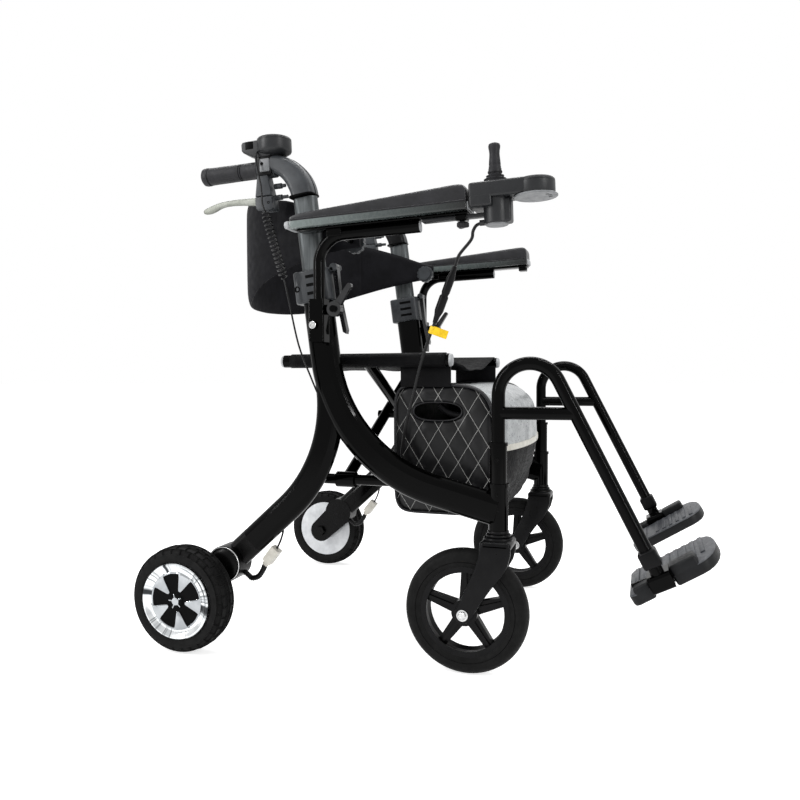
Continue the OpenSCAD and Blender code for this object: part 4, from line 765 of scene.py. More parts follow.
# post clamps: ring round the post with three slots, a dark bolt and the quick lever's ears
clampRing = {"low": 266.4, "high": 320, "lever": (38, 319), "slots": 3, "slotFrom": 278.4, "slotTall": 5.2,
             "slotStep": 14}
for side in outward:
    bm = bmesh.new()
    addSlab(bm, roundedOutline(64, 43, 9, 5, (-1.6, 0)), clampRing["low"], clampRing["high"], 3, 3)
    bmesh.ops.transform(bm, matrix=flat, verts=bm.verts)
    x, y = clampRing["lever"]
    for z in (-9, 9):
        ear = [(0, z - 2.5), (6, z - 2.5), (6.5, z - 2), (6.5, z + 2), (6, z + 2.5), (0, z + 2.5)]
        addTurned(bm, ear, 28, Matrix.Translation((x, y, 0)))
        addBlock(bm, (26, y - 6.5, z - 2.5), (x, y + 0.6, z + 2.5), 0.8, 2)
    addTurned(bm, [(0, -11), (2.5, -11), (2.5, 11), (0, 11)], 18, Matrix.Translation((x, y, 0)))
    finishPiece("postClamp_" + side, bm, frames["mast", side], side + "_frame", ["mouldedAbsGrey"], sharp=40,
                stands=["post_clamp_" + side])
    # the slots are dark marks on the clamp: painted shade of the recesses
    bm = bmesh.new()
    for i in range(clampRing["slots"]):
        low = clampRing["slotFrom"] + clampRing["slotStep"] * i
        for z in (-21.9, 20.9):
            addBlock(bm, (-9, low, z), (17, low + clampRing["slotTall"], z + 1), 0.4, 1)
    finishPiece("clampSlots_" + side, bm, frames["mast", side], side + "_frame", ["darkPaintAndShade"], sharp=30)
    addScrews("clampBolt_" + side, frames["mast", side], side + "_frame", [(-26, 291, 19.8, 5.6, 2)], "darkPaintAndShade")
print("clamps done")

# armrest supports: bent tube close under the pad, plate, backrest pin and the bar's guide
armTube = {"x": 253, "foot": 531, "bend": 653.6, "radius": 9.4, "end": 127, "outboard": 44}
for side in outward:
    bm = bmesh.new()
    rise = radians(chair["armRise"])
    centre = Vector((armTube["x"] + chair["armBend"], armTube["bend"]))
    path = [(armTube["x"], y, armTube["outboard"]) for y in (armTube["foot"], armTube["bend"] - 20)]
    for i in range(15):
        a = pi - (pi / 2 - rise) * i / 14
        path.append((centre.x + chair["armBend"] * cos(a), centre.y + chair["armBend"] * sin(a), armTube["outboard"]))
    x, y, z = path[-1]
    path.append((x + armTube["end"] * cos(rise), y + armTube["end"] * sin(rise), z))
    addBar(bm, path, armTube["radius"], 28)
    bmesh.ops.transform(bm, matrix=frames["arm", side].inverted() @ frames["plain", side], verts=bm.verts)
    addBlock(bm, (-75, 14.6, -15), (205, 18.4, 15), 1.4, 2)
    addBlock(bm, (-25, 1.6, -15), (1, 15.4, 11), 2, 3)
    addTurned(bm, [(0, -76), (4, -76), (4, -14), (0, -14)], 24, Matrix.Translation((-12, 6, 0)))
    for z in (-11.4, 9.2):
        addBlock(bm, (186, 7.6, z), (202, 15.4, z + 2.2), 0.6, 2)
    addBlock(bm, (186, 7, -11.4), (202, 9.2, 11.4), 0.8, 2)
    finishPiece("armSupport_" + side, bm, frames["arm", side], "arm_" + side, ["powderCoatBlack"], sharp=40,
                stands=["arm_support_" + side])
    bm = bmesh.new()
    addTurned(bm, [(0, 126.6), (8.2, 126.6), (8.6, 127.2), (8.4, 128.4), (0, 129)], 28,
              Matrix.Translation((0, 5.6, 0)) @ turnX)
    finishPiece("armTubePlug_" + side, bm, frames["arm", side], "arm_" + side, ["polyethyleneGrey"], sharp=40)
knob = {"radius": 8.3, "lobe": 2.1, "lobes": 3, "at": 194}
bm = bmesh.new()
lobes = []
for k in range(0, 360, 3):
    r = knob["radius"] + knob["lobe"] * cos(radians(knob["lobes"] * k))
    lobes.append((r * cos(radians(k)), r * sin(radians(k))))
addSlab(bm, lobes, -3, 4.4, 1.8, 3)
bmesh.ops.transform(bm, matrix=flat, verts=bm.verts)
addTurned(bm, [(0, 3), (6, 3), (5.4, 6), (3.2, 6.8), (3.2, 10), (0, 10)], 28, upright)
bmesh.ops.translate(bm, verts=bm.verts, vec=(knob["at"], 0, 0))
finishPiece("thumbKnob", bm, frames["arm", "right"], "thumb_knob", ["gripRubber"], sharp=40, stands=["thumb_knob"])
print("arm supports done")

# joystick box, round rest, lower housing, stick: rest and socket are (x, radius)
stickBox = {"rest": (305, 28.4), "socket": (247, 19.4), "stick": (246, 47)}
bm = bmesh.new()
addBlock(bm, (209.6, 33.6, -25), (306, 57, 25), 4, 5)
addBlock(bm, (209.6, 21, -24.8), (244, 40, 24.8), 4, 5)
restX, restR = stickBox["rest"]
restPlace = Matrix.Translation((restX, 0, 0)) @ upright
restPart = [(0, 32), (restR - 1, 32.6), (restR, 34), (restR, 50.6), (restR - 0.5, 51), (restR - 0.5, 51.6),
            (restR, 52), (restR - 0.4, 54.6), (restR - 2.4, 56.6), (0, 57)]
addTurned(bm, restPart, 64, restPlace)
socketX, socketR = stickBox["socket"]
socketPlace = Matrix.Translation((socketX, 0, 0)) @ upright
addTurned(bm, [(0, -2.6), (socketR - 0.8, -2.6), (socketR, -1.6), (socketR, 36), (0, 36)], 48, socketPlace)
addBlock(bm, (246, -2.4, -13), (270, 34, 13), 4, 4)
addBlock(bm, (133, 9.6, -8), (232, 15, 8), 0.8, 2)
addTurned(bm, [(0, 0), (4.4, 0), (4.4, 10), (0, 10)], 24, Matrix.Translation((221, 1.4, 0)) @ turnX)
finishPiece("joystickBox", bm, frames["arm", "right"], "controller", ["polishedAbsBlack"], sharp=38,
            stands=["joystick_box"])
bm = bmesh.new()
addTurned(bm, [(0, 30.6), (31.4, 30.6), (32, 31.2), (32, 32.6), (31.4, 33.2), (0, 33.2)], 56, restPlace)
addTurned(bm, [(0, -5), (15.8, -5), (16.8, -3.8), (16.8, -2), (0, -2)], 40, socketPlace)
finishPiece("restDisc", bm, frames["arm", "right"], "controller", ["mouldedAbsLight"], sharp=30)
# the rest's slots are dark marks on its face: painted shade of the recesses
bm = bmesh.new()
for x, z in ((326, 5), (323, 12), (326, -4)):
    addBlock(bm, (x - 2.6, 30.2, z - 1), (x + 2.6, 31, z + 1), 0.3, 1)
finishPiece("restSlots", bm, frames["arm", "right"], "controller", ["darkPaintAndShade"])
bm = bmesh.new()
stickProfile = [(0, -4), (4, -4), (4, 25), (10.6, 25.4), (11, 27), (9.6, 30), (9.8, 31.4), (9, 33.4), (9.2, 35),
                (8.6, 36), (8.6, 37), (8.9, 37.6), (8.4, 44), (7.8, 50), (7.6, 54), (7.9, 58), (8.8, 63), (8.9, 65.4),
                (8, 68), (5.4, 69.2), (0, 69.5)]
addTurned(bm, stickProfile, 40, Matrix.Translation((*stickBox["stick"], 0)) @ upright)
finishPiece("joystickStick", bm, frames["arm", "right"], "stick", ["gripRubber"], sharp=50,
            stands=["joystick_stick"])
print("joystick done")

# cords, on the routes of the part's source but for the ends that run into the drawn housings
cords = {"curlTurns": 17, "perTurn": 16, "curlR": 6, "curlD": 3, "leadD": 5, "sleeveD": 8, "wireD": 3.5}


def out(place, distance):
    return Vector((place[0], -chair["frameY"] - distance, place[1]))


def toShared(point):
    return (Vector(point) - Vector((chair["middle"], 0, 0))) * mm


def turnTo(way):
    return way.to_track_quat("Z", "Y").to_matrix().to_4x4()


# a cord on one body, or, when eased is given, on no body with its place baked into the mesh
def addCord(name, points, diameter, body, stands=(), eased=None):
    bm = bmesh.new()
    addBar(bm, points, diameter / 2, 10)
    obj = finishPiece(name, bm, middleFrame, None if eased else body, ["pvcJacket"], sharp=60, stands=stands)
    if eased:
        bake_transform(obj)


curlTop, curlEnd = out(gripAt(-78.6, -2.3), 37), out(mastAt(-39.7, 307.7), 37)
curlAxis = (curlEnd - curlTop).normalized()
curlSide = curlAxis.cross(Vector((0, 1, 0))).normalized()
curlUp = curlSide.cross(curlAxis)
coil = []
coilSteps = cords["perTurn"] * cords["curlTurns"]
for i in range(coilSteps + 1):
    t = i / coilSteps
    a = 2 * pi * i / cords["perTurn"]
    grow = min(1, min(t, 1 - t) * cords["curlTurns"] * 1.2)  # winds out from the lead and back in to it
    coil.append(curlTop + (curlEnd - curlTop) * t + (curlSide * cos(a) + curlUp * sin(a)) * cords["curlR"] * grow)
leadIn = curvePoints([out(gripAt(27, 17), 14), out(gripAt(20, 18), 22), out(gripAt(2, 15.4), 26),
                      out(gripAt(-36.4, 6), 31), out(gripAt(-66.6, 1.6), 37)], 6)
leadOut = curvePoints([out(mastAt(-39, 301.5), 37), out(mastAt(-36.9, 275), 36), out(mastAt(-31.7, 198.7), 31),
                       out(mastAt(-19.9, 141.7), 24), out(mastAt(-15.1, 116.9), 18.2)], 6)
addCord("curlyCord", leadIn + coil + leadOut, cords["curlD"], "right_frame", ["curly_cord"],
        eased=("handle_right", toShared(curlEnd), toShared(curlTop)))

plugA, plugB = out(armAt(179.7, -58.6), 39), out(armAt(141, -142.5), 28)
plugWay = (plugB - plugA).normalized()
upperLead = [out(armAt(222, 1), 44), out(armAt(215, -2), 44), out(armAt(210, -10), 44), out(armAt(206.5, -22), 43),
             plugA - plugWay * 18, plugA]
bagY = -191
lowerLead = [plugB, plugB + plugWay * 34, Vector((410, -252, 488)), Vector((392, -232, 440)), Vector((376, -217, 398)),
             Vector((366, bagY - 16, 362)), Vector((362, bagY - 12, 340)), Vector((366, bagY - 7, 326)),
             Vector((372, bagY - 2.2, 320))]
plugLength = (plugB - plugA).length
plugFrame = middleFrame @ Matrix.Translation(plugA) @ turnTo(plugWay)
bm = bmesh.new()
plugProfile = [(0, 0.3), (3.4, 0.3), (3.7, 4), (4.4, 10), (5.2, 14), (6.4, 19), (6.5, 22), (6.5, 42), (5.9, 44.6),
               (5.5, 45.4), (5.5, 47.6), (6.6, 48.6), (7, 50), (7, 72), (6.4, 75), (5, 80), (4, plugLength - 5),
               (3.4, plugLength - 0.3), (0, plugLength - 0.3)]
addTurned(bm, plugProfile, 28)
plugs = finishPiece("leadPlugs", bm, plugFrame, "arm_right", ["mouldedNylonBlack"], sharp=40, stands=["lead_plugs"])
tagDown = Vector((0.94, 0, -0.34)).normalized()
tagAt = plugB + plugWay * 11
tagPlace = middleFrame @ Matrix.Translation(tagAt) @ Matrix((
    (tagDown.x, 0, -tagDown.z, 0), (0, 1, 0, 0), (tagDown.z, 0, tagDown.x, 0), (0, 0, 0, 1)))
bm = bmesh.new()
addTurned(bm, [(3.2, -6), (4.6, -6), (4.6, 6), (3.2, 6)], 20)
tagRing = tagPlace.inverted() @ middleFrame @ Matrix.Translation(tagAt) @ turnTo(plugWay)
bmesh.ops.transform(bm, matrix=tagRing, verts=bm.verts)
for first, last, length in ((-1.4, -0.4, 27), (0.4, 1.4, 25.4)):
    addBlock(bm, (2, first - 2, -6.6), (length, last - 2, 6.4), 0.4, 1)
tag = finishPiece("leadTag", bm, tagPlace, "arm_right", ["vinylTag"], sharp=30)
addCord("joystickLeadUpper", curvePoints(upperLead, 6), cords["leadD"], "arm_right", ["joystick_lead"],
        eased=("controller", toShared(plugA), toShared(upperLead[2])))
addCord("joystickLeadLower", curvePoints(lowerLead, 6), cords["leadD"], "right_frame",
        eased=("arm_right", toShared(lowerLead[5]), toShared(plugB)))
boss = (58, 146)  # the motor mount's round boss, with its ring and cap
for side in outward:
    y = outward[side] * (chair["frameY"] - 4)
    sleeve = curvePoints([(77, y, 131), (88, y, 124.5), (97, y, 118), (110, y, 122), (119, y, 134), (123, y, 143)], 8)
    r = cords["sleeveD"] / 2
    rib = [(r - 0.6, -0.9), (r + 1, -0.6), (r + 1, 0.6), (r - 0.6, 0.9)]
    bm = bmesh.new()
    for i in range(6, len(sleeve) - 1, 2):
        way = (sleeve[i + 1] - sleeve[i - 1]).normalized()
        addTurned(bm, rib, 16, Matrix.Translation(sleeve[i]) @ turnTo(way))
    ribs = finishPiece("sleeveRibs_" + side, bm, middleFrame, side + "_frame", ["pvcJacket"], sharp=50)
    addCord("motorSleeve_" + side, sleeve, cords["sleeveD"], side + "_frame", ["motor_lead_" + side])
    wire = curvePoints([(145.5, y, 172), (151, y, 182), (156, y, 194), (159, y, 206), (158, y, 222)], 6)
    addCord("motorWire_" + side, wire, cords["wireD"], side + "_frame")
    bm = bmesh.new()
    addTurned(bm, [(28.6, 23.6), (30.4, 23.6), (31, 24.4), (31, 25.6), (30.2, 26.4), (28.8, 26.4)], 56)
    bossFrame = frames["plain", side] @ Matrix.Translation((*boss, 0))
    finishPiece("bossRing_" + side, bm, bossFrame, side + "_frame", ["zincPlatedSteel"])
    bm = bmesh.new()
    addTurned(bm, [(0, 30), (12, 29.6), (22, 28), (27, 25.6), (28.8, 23.4), (0, 23.4)], 56)
    finishPiece("bossCap_" + side, bm, bossFrame, side + "_frame", ["castAlloyBlack"], sharp=50)
print("cords done")

# armrest pads: crowned leather over foam on a channel, thicker and a little wider towards the front
pad = {"middle": 61, "half": 146, "bottom": 18.6, "top": 50.4, "rise": 9, "width": 52, "flare": 0.04, "seam": 32.2}
padSteps = (-0.998, -0.985, -0.96, -0.91, -0.82, -0.6, -0.35, -0.1, 0.15, 0.4, 0.6, 0.78, 0.9, 0.96, 0.988, 0.998)
padSides = [(0.86, 18.8), (0.95, 19.6), (0.985, 21.4), (1.0, 26), (0.995, 30.4), (0.965, 32.2)]
padCrown = [(0.985, 0.1), (0.99, 0.42), (0.975, 0.74), (0.92, 0.93), (0.76, 0.99), (0.42, 1.0), (0.14, 1.0)]


def padHalf(u):
    return pad["width"] / 2 * (1 - pad["flare"] + pad["flare"] * u)


for side in outward:
    bm = bmesh.new()
    rings = []
    for u in padSteps:
        shrink = (1 - abs(u) ** (10 if u < 0 else 40)) ** 0.34
        half = padHalf(u) * (0.9 + 0.1 * shrink)
        x = pad["middle"] + pad["half"] * u
        top = pad["seam"] + (pad["top"] + pad["rise"] * u - pad["seam"]) * (0.12 + 0.88 * shrink)
        ring = [Vector((x, pad["bottom"], 0)), Vector((x, pad["bottom"], half * 0.55))]
        ring += [Vector((x, y, half * w)) for w, y in padSides]
        ring += [Vector((x, pad["seam"] + (top - pad["seam"]) * v, half * w)) for w, v in padCrown]
        mirrored = [Vector((v.x, v.y, -v.z)) for v in reversed(ring[1:])]
        rings.append(ring + mirrored)
    addLoft(bm, rings)
    # the lower sides under the seam take the channel with its painted reflection
    for f in bm.faces:
        c = f.calc_center_median()
        f.material_index = 1 if c.y < pad["seam"] - 1.2 and abs(c.z) > 8 else 0
    obj = finishPiece("armPad_" + side, bm, frames["arm", side], "arm_" + side, ["puLeather", "rubbedChannel"],
                      sharp=75, stands=["arm_pad_" + side], smoothLevel=2)
    bm = bmesh.new()
    for sign in (-1, 1):
        path = [Vector((pad["middle"] + pad["half"] * u, pad["seam"], sign * padHalf(u) * 0.985))
                for u in (-0.97, -0.5, -0.1, 0.3, 0.7, 0.98)]
        addBar(bm, path, 0.9, 8)
    finishPiece("padSeam_" + side, bm, frames["arm", side], "arm_" + side, ["puLeather"])
    bm = bmesh.new()
    addSlab(bm, roundedOutline(12.6, 42, 5.6, 5, (25.6, 0)), 0, 11, 4.4, 4)
    rear, front = pad["middle"] - pad["half"], pad["middle"] + pad["half"]
    turnRear = Matrix(((0, 0, -1, rear + 1), (1, 0, 0, 0), (0, 1, 0, 0), (0, 0, 0, 1)))
    bmesh.ops.transform(bm, matrix=turnRear, verts=bm.verts)
    addBlock(bm, (front - 1, 20.4, -21), (front + 1.6, 31, 21), 1, 2)
    finishPiece("padCap_" + side, bm, frames["arm", side], "arm_" + side, ["polyethyleneGrey"], sharp=40)
print("pads done")

# backrest band: tall in the middle, narrow at the knobs, in three parts that meet at their seams
band = {"depth": 304, "half": 223, "thick": 12, "pin": armAt(-12, 6), "forward": 22, "seam": 0.69, "seamWide": 0.03,
        "skew": 17, "skewAt": -0.74, "skewOver": 0.34, "end": 0.9955}
bandX = band["pin"][0] + band["forward"]
# share of the half turn, top and bottom edge
bandEdges = [(0, 806, 604), (0.2, 806, 607), (0.36, 802, 614), (0.5, 788, 632), (0.6, 779, 645), (0.7, 768, 657),
             (0.8, 757, 669), (0.9, 741, 680), (1.0, 717, 690)]
bandCurve = curvePoints(bandEdges, 10)


def edgesAt(u):
    share = min(abs(u), 1)
    for a, b in zip(bandCurve, bandCurve[1:]):
        if share <= b.x:
            t = max(0, (share - a.x) / max(b.x - a.x, 0.000001))
            # the right wing stands higher
            lift = band["skew"] * max(0, 1 - abs(u - band["skewAt"]) / band["skewOver"]) ** 0.6
            return a.y + (b.y - a.y) * t + lift, a.z + (b.z - a.z) * t
    return bandCurve[-1].y, bandCurve[-1].z


def bandPoint(u):
    a = radians(90) * u
    return Vector((bandX - band["depth"] * max(cos(a), 0.0001) ** 0.75, band["half"] * signedPower(sin(a), 0.85), 0))


# a rounded section of the band, thinner at the seams
def bandRing(u, count=36):
    p = bandPoint(u)
    q = (bandPoint(u + 0.004) - bandPoint(u - 0.004)).normalized()
    top, bottom = edgesAt(u)
    tall, centre = (top - bottom) / 2, (top + bottom) / 2
    seam = min(abs(abs(u) - band["seam"]) / band["seamWide"], 1)
    half = band["thick"] / 2 * (0.55 + 0.45 * sqrt(seam))
    ring = []
    for k in range(count):
        c, d = cos(2 * pi * k / count), sin(2 * pi * k / count)
        wide = max(abs(c), abs(d)) ** -0.6
        ring.append(p + Vector((q.y, -q.x, 0)) * half * c * wide + Vector((0, 0, centre + tall * signedPower(d, 0.55))))
    return ring


bandParts = {"backCentre": (-band["seam"], band["seam"], 41), "backWing_right": (-band["end"], -band["seam"], 21),
             "backWing_left": (band["seam"], band["end"], 21)}
for name, (first, last, count) in bandParts.items():
    bm = bmesh.new()
    steps = [first + (last - first) * i / (count - 1) for i in range(count)]
    addLoft(bm, [bandRing(u) for u in steps])
    obj = finishPiece(name, bm, middleFrame, None, ["laminatedFoam"], sharp=60,
                      stands=["backrest"] if name == "backCentre" else ())
    if name == "backCentre":
        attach(obj, "right_frame")
        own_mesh(obj)
    else:
        side = name.split("_")[1]
        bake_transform(obj)
print("backrest done")

# seat sling: woven cloth over the two rails, sagging between them
sling = {"from": 160, "to": 441, "sag": 27, "rail": 11, "lift": 1.6, "rows": 26, "wave": 2.2, "ripple": 21, "crease": 3}


def slingProfile():
    line = []
    r = sling["rail"] + sling["lift"]
    for a in range(-70, 91, 16):  # round the outer side of the rail, up to its top
        line.append((-chair["railY"] - r * cos(radians(a)), chair["seatZ"] + r * sin(radians(a))))
    for i in range(1, 24):
        y = -chair["railY"] + 2 * chair["railY"] * i / 24
        line.append((y, chair["seatZ"] + r - sling["sag"] * (1 - (y / chair["railY"]) ** 2)))
    return line + [(-y, z) for y, z in reversed(line[:11])]


profile = slingProfile()
bm = bmesh.new()
row = [bm.verts.new((sling["from"], y, z)) for y, z in profile]
for a, b in zip(row, row[1:]):
    bm.edges.new((a, b))
for i in range(1, sling["rows"] + 1):
    row = extrudeRow(bm, row, [bm.edges.get(pair) for pair in zip(row, row[1:])])
    x = sling["from"] + (sling["to"] - sling["from"]) * i / sling["rows"]
    for v, (y, z) in zip(row, profile):
        loose = max(0, 1 - (y / chair["railY"]) ** 2)
        wave = sling["wave"] * loose * sin(y / sling["ripple"] + 2.5 * noise.noise(Vector((x / 60, y / 90, 3))))
        crease = sling["crease"] * loose * noise.noise(Vector((x / 45, y / 60, 1)))
        v.co = (x, y, z + wave * (0.35 + 0.65 * i / sling["rows"]) + crease)
seatCloth = finishPiece("seatCloth", bm, middleFrame, "seat", ["wovenPolyester"], sharp=80, stands=["seat_sling"],
                        thick=1.4)
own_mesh(seatCloth)
print("seat done")

# bag: quilted ends with a hand hole, a gusset that sags between them
bag = {"x": 432, "top": 457, "bottom": 241, "half": 191, "length": 172, "hole": (421, 413, 84, 31), "puff": 3.2,
       "ringSteps": 22, "gusset": 34, "inset": 6, "bulge": 36, "fullFrom": 262, "fullOver": 70, "sag": 7,
       "underFrom": 355, "underOver": 102, "silverFrom": 352, "flapX": 56, "lidX": 8, "lidFrom": 446, "steps": 128}
bagZ = (bag["top"] + bag["bottom"]) / 2


# rounded square, softer at the upper front corner
def bagOutline():
    line = []
    for k in range(bag["steps"]):
        a = 2 * pi * k / bag["steps"]
        c, s = cos(a), sin(a)
        power = 0.56 if c > 0 and s > 0 else 0.25
        line.append((bag["x"] + bag["length"] / 2 * signedPower(c, power),
                     bagZ + (bag["top"] - bag["bottom"]) / 2 * signedPower(s, power)))
    return line


def holeOutline():
    x, z, width, height = bag["hole"]
    turns = [2 * pi * k / bag["steps"] for k in range(bag["steps"])]
    return [(x + width / 2 * signedPower(cos(a), 0.75), z + height / 2 * signedPower(sin(a), 0.85)) for a in turns]


# a row of the gusset: its y, and how loose the cloth is there
def gussetRow(j):
    y = -bag["half"] + bag["inset"] + (2 * bag["half"] - 2 * bag["inset"]) * j / bag["gusset"]
    return y, 1 - (y / bag["half"]) ** 2


def quiltPuff(x, z):
    u = (x - quilt["centre"][0]) / quilt["width"]
    v = (z - quilt["centre"][1]) / quilt["height"]
    return bag["puff"] * sqrt(abs(sin(pi * (u + v)) * sin(pi * (u - v))))


outer, hole = bagOutline(), holeOutline()
rings = []
for sign in (-1, 1):
    panel = []
    for j in range(bag["ringSteps"] + 1):
        t = j / bag["ringSteps"]
        ring = []
        for (hx, hz), (ox, oz) in zip(hole, outer):
            x, z = hx + (ox - hx) * t, hz + (oz - hz) * t
            edge = min(1, (1 - t) * 6) * min(1, t * 8 + 0.2)
            ring.append(Vector((x, sign * (bag["half"] - bag["inset"] + 3.6 * edge + quiltPuff(x, z) * edge), z)))
        panel.append(ring)
    if sign < 0:
        rings += panel
        for j in range(1, bag["gusset"]):
            y, loose = gussetRow(j)
            ring = []
            for x, z in outer:
                n = noise.noise(Vector((x / 30, y / 34, z / 30)))
                front = max(0, (x - bag["x"]) / (bag["length"] / 2))
                under = max(0, (bag["underFrom"] - z) / bag["underOver"])
                high = max(0, min(1, (z - bag["fullFrom"]) / bag["fullOver"]))
                bulge = bag["bulge"] * loose ** 0.6 * front ** 2 * (0.25 + 0.75 * high * high * (3 - 2 * high))
                ring.append(Vector((x + bulge + loose * 3.4 * n * front, y,
                                    z - loose * bag["sag"] * under ** 3 + 2 * loose * n * (1 - under))))
            rings.append(ring)
    else:
        rings += list(reversed(panel))
bm = bmesh.new()
addLoft(bm, rings, fill=False)
for f in bm.faces:
    c = f.calc_center_median()
    if abs(c.y) < bag["half"] - 8:
        lid = c.x > bag["x"] + bag["lidX"] and c.z > bag["lidFrom"]
        flap = c.x > bag["x"] + bag["flapX"] and c.z > bag["silverFrom"]
        f.material_index = 1 if lid or flap else 2
bagShell = finishPiece("quiltedBag", bm, middleFrame, "seat", ["quiltedLeather", "silverNylon", "wovenPolyester"],
                       sharp=60, stands=["bag"], thick=2.4)
bm = bmesh.new()
for sign in (-1, 1):
    for shift, r, grow in ((-7.5, 2.4, 1.004), (-2, 2.2, 1)):
        line = [(bag["x"] + (x - bag["x"]) * grow, sign * (bag["half"] + shift), bagZ + (z - bagZ) * grow)
                for x, z in outer]
        addBar(bm, line, r, 8, True)
    addBar(bm, [(x, sign * (bag["half"] - 3.4), z) for x, z in hole], 1.3, 8, True)
piping = finishPiece("bagPiping", bm, middleFrame, "seat", ["puLeather"], sharp=70)
# a grab loop behind each hand hole, and the straps that hang the bag on the rails
bm = bmesh.new()
for sign in (-1, 1):
    x, z = bag["hole"][:2]
    grab = [(x + 2, sign * (bag["half"] - 9), z + 10), (x + 12, sign * (bag["half"] - 12), z + 1),
            (x + 26, sign * (bag["half"] - 11), z - 5), (x + 48, sign * (bag["half"] - 9), z - 8)]
    addBar(bm, curvePoints(grab, 6), 5, 10)
    low, high = sorted((sign * (chair["railY"] - 13.5), sign * (chair["railY"] - 8.5)))
    addBlock(bm, (358, low, 454), (446, high, 493), 1.6, 2)
straps = finishPiece("bagStraps", bm, middleFrame, "seat", ["nylonWebbing"], sharp=40)
# pale trim along the lower edge of the silver flap
trimSection = ((-3, -5), (0.6, -5), (0.9, 0), (0.6, 5), (-3, 5))
bm = bmesh.new()
trimRings = []
for j in range(1, bag["gusset"]):
    y, loose = gussetRow(j)
    edge = bag["x"] + bag["length"] / 2 + bag["bulge"] * loose ** 0.6 + 1.2
    trimRings.append([Vector((edge + dx, y, bag["silverFrom"] + dz)) for dx, dz in trimSection])
addLoft(bm, trimRings)
trim = finishPiece("bagTrim", bm, middleFrame, "seat", ["nylonIvory"], sharp=60)
for piece in (bagShell, piping, trim, straps):
    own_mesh(piece)
print("bag done")

# small fittings: bracket and socket screws, plugs in the ends of the seat rails
for side in outward:
    body = side + "_frame"
    addScrews("bracketScrews_" + side, frames["plain", side], body, [(249, 555, 61.2, 6, 3)])
    addScrews("socketScrews_" + side, frames["plain", side], body,
              [(536, 266, 15.2, 3.2, 1.4), (536, 342, 13.2, 3.2, 1.4), (536, 288, 15.2, 2.4, 1.2)], "castAlloyBlack")
for side, body in (("right", "brace_left"), ("left", "brace_right")):
    bm = bmesh.new()
    for end, way in ((447, 1), (146, -1)):
        at = Matrix.Translation((end, outward[side] * chair["railY"], chair["seatZ"]))
        turn = at @ Matrix.Rotation(radians(90 * way), 4, "Y")
        addTurned(bm, [(0, 0), (10.8, 0), (10.8, 1.6), (9.6, 4.2), (6, 5), (0, 5.2)], 32, turn)
    finishPiece("railPlugs_" + side, bm, middleFrame, body, ["polyethyleneGrey"], sharp=50)
print("fittings done")

# camera: place in mm, turns in degrees, focal length in pixels of an image 800 wide
view = {"at": (365.66, -1388.72, 477.28), "yaw": 18.347, "pitch": 2.064, "roll": -0.249, "focal": 740.03,
        "image": 800, "sensor": 36}
camera = bpy.data.objects.new("camera", bpy.data.cameras.new("camera"))
scene.collection.objects.link(camera)
camera.data.sensor_width = view["sensor"]
camera.data.lens = view["sensor"] * view["focal"] / view["image"]
yaw, pitch, roll = (radians(view[k]) for k in ("yaw", "pitch", "roll"))
ahead = Vector((-sin(yaw) * cos(pitch), cos(yaw) * cos(pitch), -sin(pitch)))
rightWay = Vector((cos(yaw), sin(yaw), 0))
upWay = rightWay.cross(ahead)
rightWay, upWay = rightWay * cos(roll) + upWay * sin(roll), upWay * cos(roll) - rightWay * sin(roll)
camera.matrix_world = Matrix((
    (rightWay.x, upWay.x, -ahead.x, view["at"][0] * mm), (rightWay.y, upWay.y, -ahead.y, view["at"][1] * mm),
    (rightWay.z, upWay.z, -ahead.z, view["at"][2] * mm), (0, 0, 0, 1)))
scene.camera = camera

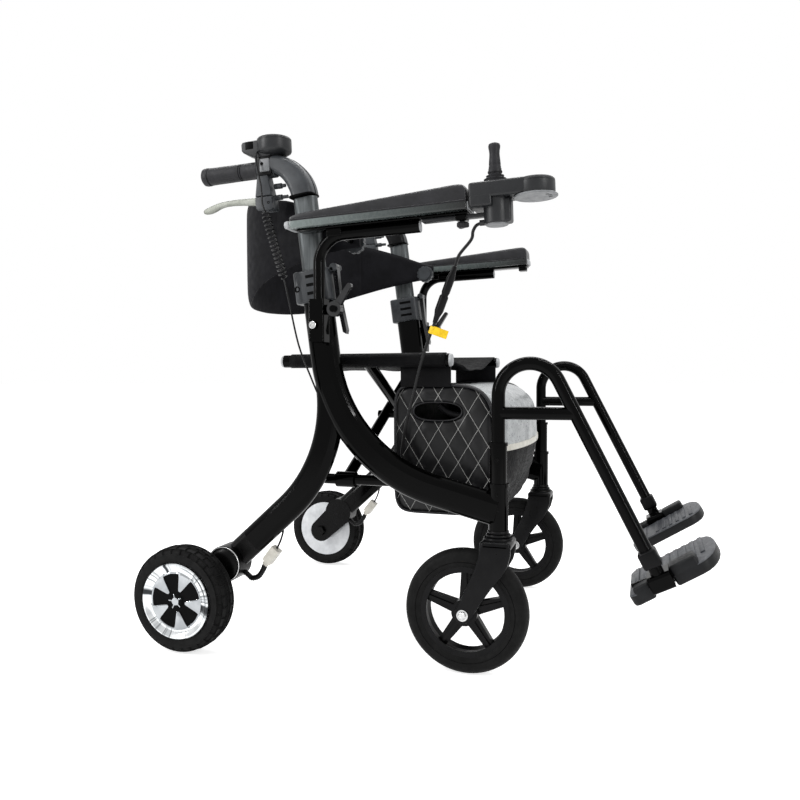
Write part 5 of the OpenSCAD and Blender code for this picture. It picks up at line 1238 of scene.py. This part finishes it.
# pale floor and soft studio light; the floor and the world look white to the camera and in reflections
stage = {"floor": 30, "world": 0.4, "lift": 0.7, "aim": (0, 0, 0.45)}
bm = bmesh.new()
bmesh.ops.create_grid(bm, x_segments=1, y_segments=1, size=stage["floor"])
mesh = bpy.data.meshes.new("floor")
bm.to_mesh(mesh)
bm.free()
floor = bpy.data.objects.new("floor", mesh)
scene.collection.objects.link(floor)
paper = bpy.data.materials.new("whitePaperFloor")  # matt white paper that keeps a soft shadow
paper.use_nodes = True
paper.node_tree.nodes.clear()
rays = addNode(paper, "ShaderNodeLightPath")
seen = addNode(paper, "ShaderNodeMath", {0: rays.outputs["Is Camera Ray"], 1: rays.outputs["Is Glossy Ray"]},
               operation="MAXIMUM")
matt = addNode(paper, "ShaderNodeBsdfDiffuse", {"Color": linear("#f4f4f4")})
glow = addNode(paper, "ShaderNodeEmission", {"Color": linear("#ffffff"), "Strength": stage["lift"]})
both = addNode(paper, "ShaderNodeAddShader", {0: matt.outputs[0], 1: glow.outputs[0]})
mixed = addNode(paper, "ShaderNodeMixShader", {"Fac": seen.outputs[0], 1: matt.outputs[0], 2: both.outputs[0]})
addNode(paper, "ShaderNodeOutputMaterial", {"Surface": mixed.outputs[0]})
mesh.materials.append(paper)

world = bpy.data.worlds.new("studio")
scene.world = world
world.use_nodes = True
world.node_tree.nodes.clear()
rays = addNode(world, "ShaderNodeLightPath")
seen = addNode(world, "ShaderNodeMath", {0: rays.outputs["Is Camera Ray"], 1: rays.outputs["Is Glossy Ray"]},
               operation="MAXIMUM")
seen = addNode(world, "ShaderNodeMath", {0: seen.outputs[0], 1: rays.outputs["Is Transmission Ray"]},
               operation="MAXIMUM")
soft = addNode(world, "ShaderNodeBackground", {"Color": linear("#ffffff"), "Strength": stage["world"]})
white = addNode(world, "ShaderNodeBackground", {"Color": linear("#ffffff"), "Strength": 1.0})
mixed = addNode(world, "ShaderNodeMixShader", {"Fac": seen.outputs[0], 1: soft.outputs[0], 2: white.outputs[0]})
addNode(world, "ShaderNodeOutputWorld", {"Surface": mixed.outputs[0]})

# name, place, width and height in metres, watts
lights = [("leftStrip", (-1.9, -1.7, 1.5), 0.07, 1.9, 40), ("rightStrip", (2.3, -1.5, 1.5), 0.06, 1.8, 28),
          ("topStrip", (0.2, -0.5, 2.6), 2.4, 0.1, 26), ("backStrip", (-0.2, 0.9, 2.3), 3.0, 0.08, 26)]
for name, at, width, height, watts in lights:
    lamp = bpy.data.lights.new(name, "AREA")
    lamp.shape = "RECTANGLE"
    lamp.size, lamp.size_y = width, height
    lamp.energy = watts
    obj = bpy.data.objects.new(name, lamp)
    scene.collection.objects.link(obj)
    obj.location = at
    obj.rotation_euler = (Vector(stage["aim"]) - Vector(at)).to_track_quat("-Z", "Y").to_euler()
print("stage done")
